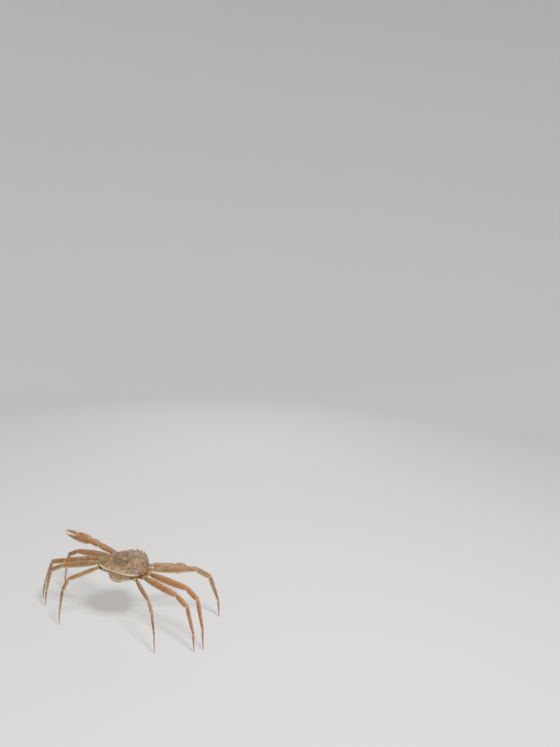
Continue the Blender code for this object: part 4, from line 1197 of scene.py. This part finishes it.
# Share of the eye's length that its stalk takes, and girths along that length
STALK_SHARE = 0.84
STALK_GRID = (40, 32)
STALK_GIRTH = ((0, 4.6), (0.4, 4), (0.58, 4.5), (0.68, 5.9), (0.74, 6.3), (0.8, 5.6))
ANTENNA_ROUTE = ((9.4, 44, 8), (10.6, 56.2, 10.6), (12, 62, 13.2), (14.8, 68.4, 15.8), (18.6, 74, 17.6))
ANTENNA_GRID = (240, 18)
ANTENNA_GIRTH = ((0, 3.4), (0.3, 3.4), (0.34, 2.7), (0.42, 2.9), (0.48, 2.2), (0.54, 2.3), (0.6, 1.5),
                 (0.8, 1.1), (1, 0.5))
SHORT_FEELER_ROUTE = ((4.2, 46, 6.4), (4.6, 50.6, 6.8), (4.6, 52.6, 5), (4, 52, 2.6), (3.2, 50, 1.4))
SHORT_FEELER_GRID = (56, 18)
SHORT_FEELER_GIRTH = ((0, 2.5), (0.36, 2.2), (0.42, 1.7), (0.75, 1.3), (1, 0.6))


def eye_pieces(side_name, shell, gloss):
    """An eye on its stalk: a short shell stalk, and a glossy ellipsoid set in its end."""
    root, centre = (on_side(SIDES[side_name], place) for place in (EYE_ROOT, EYE_CENTRE))
    along = unit(centre - root)
    length = np.linalg.norm(centre - root) + EYE_REACH
    route = root + np.outer(np.linspace(0, STALK_SHARE * length, 6), along)
    girths = [(place / STALK_SHARE, girth) for place, girth in STALK_GIRTH]
    stalk = round_piece(route, girths, STALK_GRID, pale=0.25, tone=0.3)
    mesh_piece("eye_%s_stalk" % side_name, [stalk], shell, "eye")
    across = unit(np.cross(along, (0, 0, 1)))
    ball = ellipsoid(root + along * 0.8 * length, along * 0.16 * length, across * EYE_RADIUS,
                     np.cross(along, across) * EYE_RADIUS, EYE_GRID)
    mesh_piece("eye_%s_ball" % side_name, [closed_tube(ball)], gloss, "eye", "eye_" + side_name)


def feeler_pieces(side_name, material):
    """The antenna with its thicker first joints, and the short folded feeler nearer the middle."""
    side = SIDES[side_name]
    antenna = round_piece(on_side(side, ANTENNA_ROUTE), ANTENNA_GIRTH, ANTENNA_GRID, pale=0.2, tone=0.2,
                          ringed=0.05)
    dress("antenna_" + side_name, [antenna], material, "feeler")
    folded = round_piece(on_side(side, SHORT_FEELER_ROUTE), SHORT_FEELER_GIRTH, SHORT_FEELER_GRID,
                         pale=0.45, tone=0.2)
    mesh_piece("short_feeler_" + side_name, [folded], material, "feeler")


# Stage

CAMERA_FORWARD = np.array((0.3126, -0.9337, -0.1747))
CAMERA_UP = np.array((0.0819, -0.1568, 0.9842))
# Camera from the body's middle, in metres: to its right, upwards, and back along its line of sight
CAMERA_AWAY = (0.3778, 0.4741, 1.5185)
CAMERA_LENS = 29.64
SENSOR = 36
# Lights: place, size, power, colour; all of them look at the target
LIGHTS = {
    "key_light": ((-1, 0.6, 1.9), 0.5, 98, (1, 0.97, 0.92)),
    "fill_light": ((1.9, 1.3, 1.2), 1.4, 11, (0.93, 0.96, 1)),
    "front_light": ((0.5, -2, 1.4), 1, 20, (1, 0.98, 0.95)),
}
LIGHT_TARGET = Vector((0, 0, 0.1))
SKY_COLOUR = (0.95, 0.97, 1, 1)
SKY_STRENGTH = 0.5
# Floor: how high it curves up in metres, and the share of its radius that is flat
FLOOR_RISE = 4.6
FLOOR_FLAT = 0.6


def floor_piece(radius):
    """Pale floor that curves up all round: flat to 60% of the radius, then a quarter ellipse."""
    _, x, y = superellipse(128)
    angle = np.linspace(0, pi / 2, 40)[1:]
    flat = np.linspace(0, FLOOR_FLAT, 12)[1:] * radius
    reach = np.concatenate([flat, FLOOR_FLAT * radius + (1 - FLOOR_FLAT) * radius * np.sin(angle)])
    height = np.concatenate([0 * flat, FLOOR_RISE * (1 - np.cos(angle))])
    grid = np.stack([np.outer(reach, x), np.outer(reach, y), np.outer(height, np.ones(len(x)))], axis=-1)
    quads, triangles = tube_faces(*grid.shape[:2])
    points = np.vstack([grid.reshape(-1, 3), np.zeros((1, 3))])
    floor = mesh_object("floor", points, quads, triangles[:len(x)])
    return floor


def soft_light(name, place, size, power, colour):
    light = bpy.data.lights.new(name, "AREA")
    light.shape, light.size, light.energy, light.color = "DISK", size, power, colour
    thing = bpy.data.objects.new(name, light)
    thing.location = place
    thing.rotation_euler = (LIGHT_TARGET - Vector(place)).to_track_quat("-Z", "Y").to_euler()
    bpy.context.scene.collection.objects.link(thing)


def photo_camera():
    """Camera at the photograph's viewing angle and framing, with no shift and no blur."""
    axes = np.column_stack([np.cross(CAMERA_FORWARD, CAMERA_UP), CAMERA_UP, -CAMERA_FORWARD])
    place = (body((0, 0, 0)) + OFFSET) * MM + axes @ CAMERA_AWAY
    lens = bpy.data.cameras.new("camera")
    lens.lens, lens.sensor_width, lens.sensor_fit = CAMERA_LENS, SENSOR, "AUTO"
    camera = bpy.data.objects.new("camera", lens)
    turned = Matrix(axes.tolist()).to_4x4()
    turned.translation = Vector(place.tolist())
    camera.matrix_world = turned
    bpy.context.scene.collection.objects.link(camera)
    bpy.context.scene.camera = camera


# Properties, operators and panel


def size_property(name, description, default, **more):
    return bpy.props.FloatProperty(name=name, description=description, default=default, **more)


def colour_property(name, description, default):
    return bpy.props.FloatVectorProperty(
        name=name, description=description, default=default, subtype="COLOR", size=3, min=0.0, max=1.0)


class SnowCrabSizes(bpy.types.PropertyGroup):
    wart_height: size_property(
        "Wart height", "Height of the largest warts of the back", 0.0016, unit="LENGTH")
    spine_length: size_property(
        "Margin spine", "Length of the spines along the side margins", 0.0022, unit="LENGTH")
    leg_spine_scale: size_property("Leg spines", "Scale of the small spines along the legs", 1.0)
    arm_spine_scale: size_property("Arm spines", "Scale of the spines of the claw arms", 1.0)
    floor_radius: size_property("Floor radius", "Radius of the pale floor", 4.2, unit="LENGTH")


class SnowCrabColours(bpy.types.PropertyGroup):
    back: colour_property("Back", "Tan brown of the back", (0.122, 0.071, 0.026))
    leg: colour_property("Legs", "Light brown of the legs", (0.168, 0.093, 0.029))
    warm: colour_property("Orange", "Orange of the outer legs and the crests", (0.310, 0.092, 0.016))
    # Dark is the brown of the mottling and specks, and also of the painted shade in hollows, grooves and seams
    dark: colour_property("Dark", "Dark brown of the hollows", (0.036, 0.020, 0.011))
    pale: colour_property("Pale", "Cream of the underside and joints", (0.470, 0.355, 0.160))
    eye: colour_property("Eye", "Dark of the eye", (0.007, 0.004, 0.003))
    floor: colour_property("Floor", "Pale floor", (0.83, 0.82, 0.80))


class CRAB_OT_carapace(bpy.types.Operator):
    """Lay the warty shell with its spined margin over the back"""

    bl_idname = "snowcrab.carapace"
    bl_label = "Carapace"

    def execute(self, context):
        sizes, colours = context.scene.snow_crab_sizes, context.scene.snow_crab_colours
        material = shell_material("back_shell", colours.back, colours, BACK_GLOSS, clouding=1)
        parts = [carapace_shell(sizes.wart_height / MM), margin_spines(sizes.spine_length / MM)]
        dress("carapace", parts, material, "back_shell")
        return {"FINISHED"}


class CRAB_OT_belly(bpy.types.Operator):
    """Lay the breast plates, the tail flap and the outer mouthparts over the thorax"""

    bl_idname = "snowcrab.belly"
    bl_label = "Belly and mouth"

    def execute(self, context):
        colours = context.scene.snow_crab_colours
        material = shell_material("belly_shell", colours.leg, colours, BELLY_GLOSS)
        dress("thorax", [thorax_shell()], material, "belly_shell")
        dress("abdomen", [abdomen_shell()], material, "belly_shell")
        for side_name, side in SIDES.items():
            dress("mouthpart_" + side_name, mouth_parts(side), material, "belly_shell")
        return {"FINISHED"}


class CRAB_OT_face(bpy.types.Operator):
    """Set the eyes on their stalks and the feelers beside the rostrum"""

    bl_idname = "snowcrab.face"
    bl_label = "Eyes and feelers"

    def execute(self, context):
        colours = context.scene.snow_crab_colours
        shell = shell_material("stalk_shell", colours.back, colours, BACK_GLOSS)
        gloss = eye_material("eye_gloss", colours.eye)
        feeler = plain_material("feeler_shell", colours.leg, colours.pale, 300, 0.4, 0.0002)
        for side_name in SIDES:
            eye_pieces(side_name, shell, gloss)
            feeler_pieces(side_name, feeler)
        return {"FINISHED"}


class CRAB_OT_walking_legs(bpy.types.Operator):
    """Lay the shells and joint skins over the eight walking legs"""

    bl_idname = "snowcrab.walking_legs"
    bl_label = "Walking legs"

    def execute(self, context):
        materials = limb_materials(context.scene.snow_crab_colours, "", leg=0.4, foot=0.3)
        for side_name in SIDES:
            for number in WALKING_LEGS:
                limb_shells(side_name, number, context.scene.snow_crab_sizes.leg_spine_scale, materials)
        return {"FINISHED"}


class CRAB_OT_claw_arms(bpy.types.Operator):
    """Lay the shells, teeth and joint skins over the two claw arms"""

    bl_idname = "snowcrab.claw_arms"
    bl_label = "Claw arms"

    def execute(self, context):
        materials = limb_materials(context.scene.snow_crab_colours, "arm_", claw=0.34)
        for side_name in SIDES:
            limb_shells(side_name, CLAW_ARM, context.scene.snow_crab_sizes.arm_spine_scale, materials)
        return {"FINISHED"}


class CRAB_OT_stage(bpy.types.Operator):
    """Set the pale floor, the soft lights and the camera"""

    bl_idname = "snowcrab.stage"
    bl_label = "Stage"

    def execute(self, context):
        scene = context.scene
        floor = floor_piece(scene.snow_crab_sizes.floor_radius)
        floor.data.materials.append(floor_material(scene.snow_crab_colours.floor))
        for name, row in LIGHTS.items():
            soft_light(name, *row)
        world = bpy.data.worlds.new("studio")
        world.use_nodes = True
        sky = world.node_tree.nodes["Background"].inputs
        sky["Color"].default_value = SKY_COLOUR
        sky["Strength"].default_value = SKY_STRENGTH
        scene.world = world
        photo_camera()
        return {"FINISHED"}


class CRAB_PT_panel(bpy.types.Panel):
    """Steps of the snow crab in the order in which they are run"""

    bl_idname = "CRAB_PT_panel"
    bl_label = "Snow crab"
    bl_space_type = "VIEW_3D"
    bl_region_type = "UI"
    bl_category = "Snow crab"

    def draw(self, context):
        for group in (context.scene.snow_crab_sizes, context.scene.snow_crab_colours):
            for key in group.__annotations__:
                self.layout.prop(group, key)
        for operator in OPERATORS:
            self.layout.operator(operator.bl_idname)


OPERATORS = (CRAB_OT_carapace, CRAB_OT_belly, CRAB_OT_face, CRAB_OT_walking_legs, CRAB_OT_claw_arms,
             CRAB_OT_stage)
CLASSES = (SnowCrabSizes, SnowCrabColours, *OPERATORS, CRAB_PT_panel)


def register():
    for kind in CLASSES:
        bpy.utils.register_class(kind)
    bpy.types.Scene.snow_crab_sizes = bpy.props.PointerProperty(type=SnowCrabSizes)
    bpy.types.Scene.snow_crab_colours = bpy.props.PointerProperty(type=SnowCrabColours)


def unregister():
    del bpy.types.Scene.snow_crab_colours
    del bpy.types.Scene.snow_crab_sizes
    for kind in reversed(CLASSES):
        bpy.utils.unregister_class(kind)


def main():
    register()
    bpy.ops.snowcrab.carapace()
    bpy.ops.snowcrab.belly()
    bpy.ops.snowcrab.face()
    bpy.ops.snowcrab.walking_legs()
    bpy.ops.snowcrab.claw_arms()
    bpy.ops.snowcrab.stage()
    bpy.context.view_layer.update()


if __name__ == "__main__":
    main()
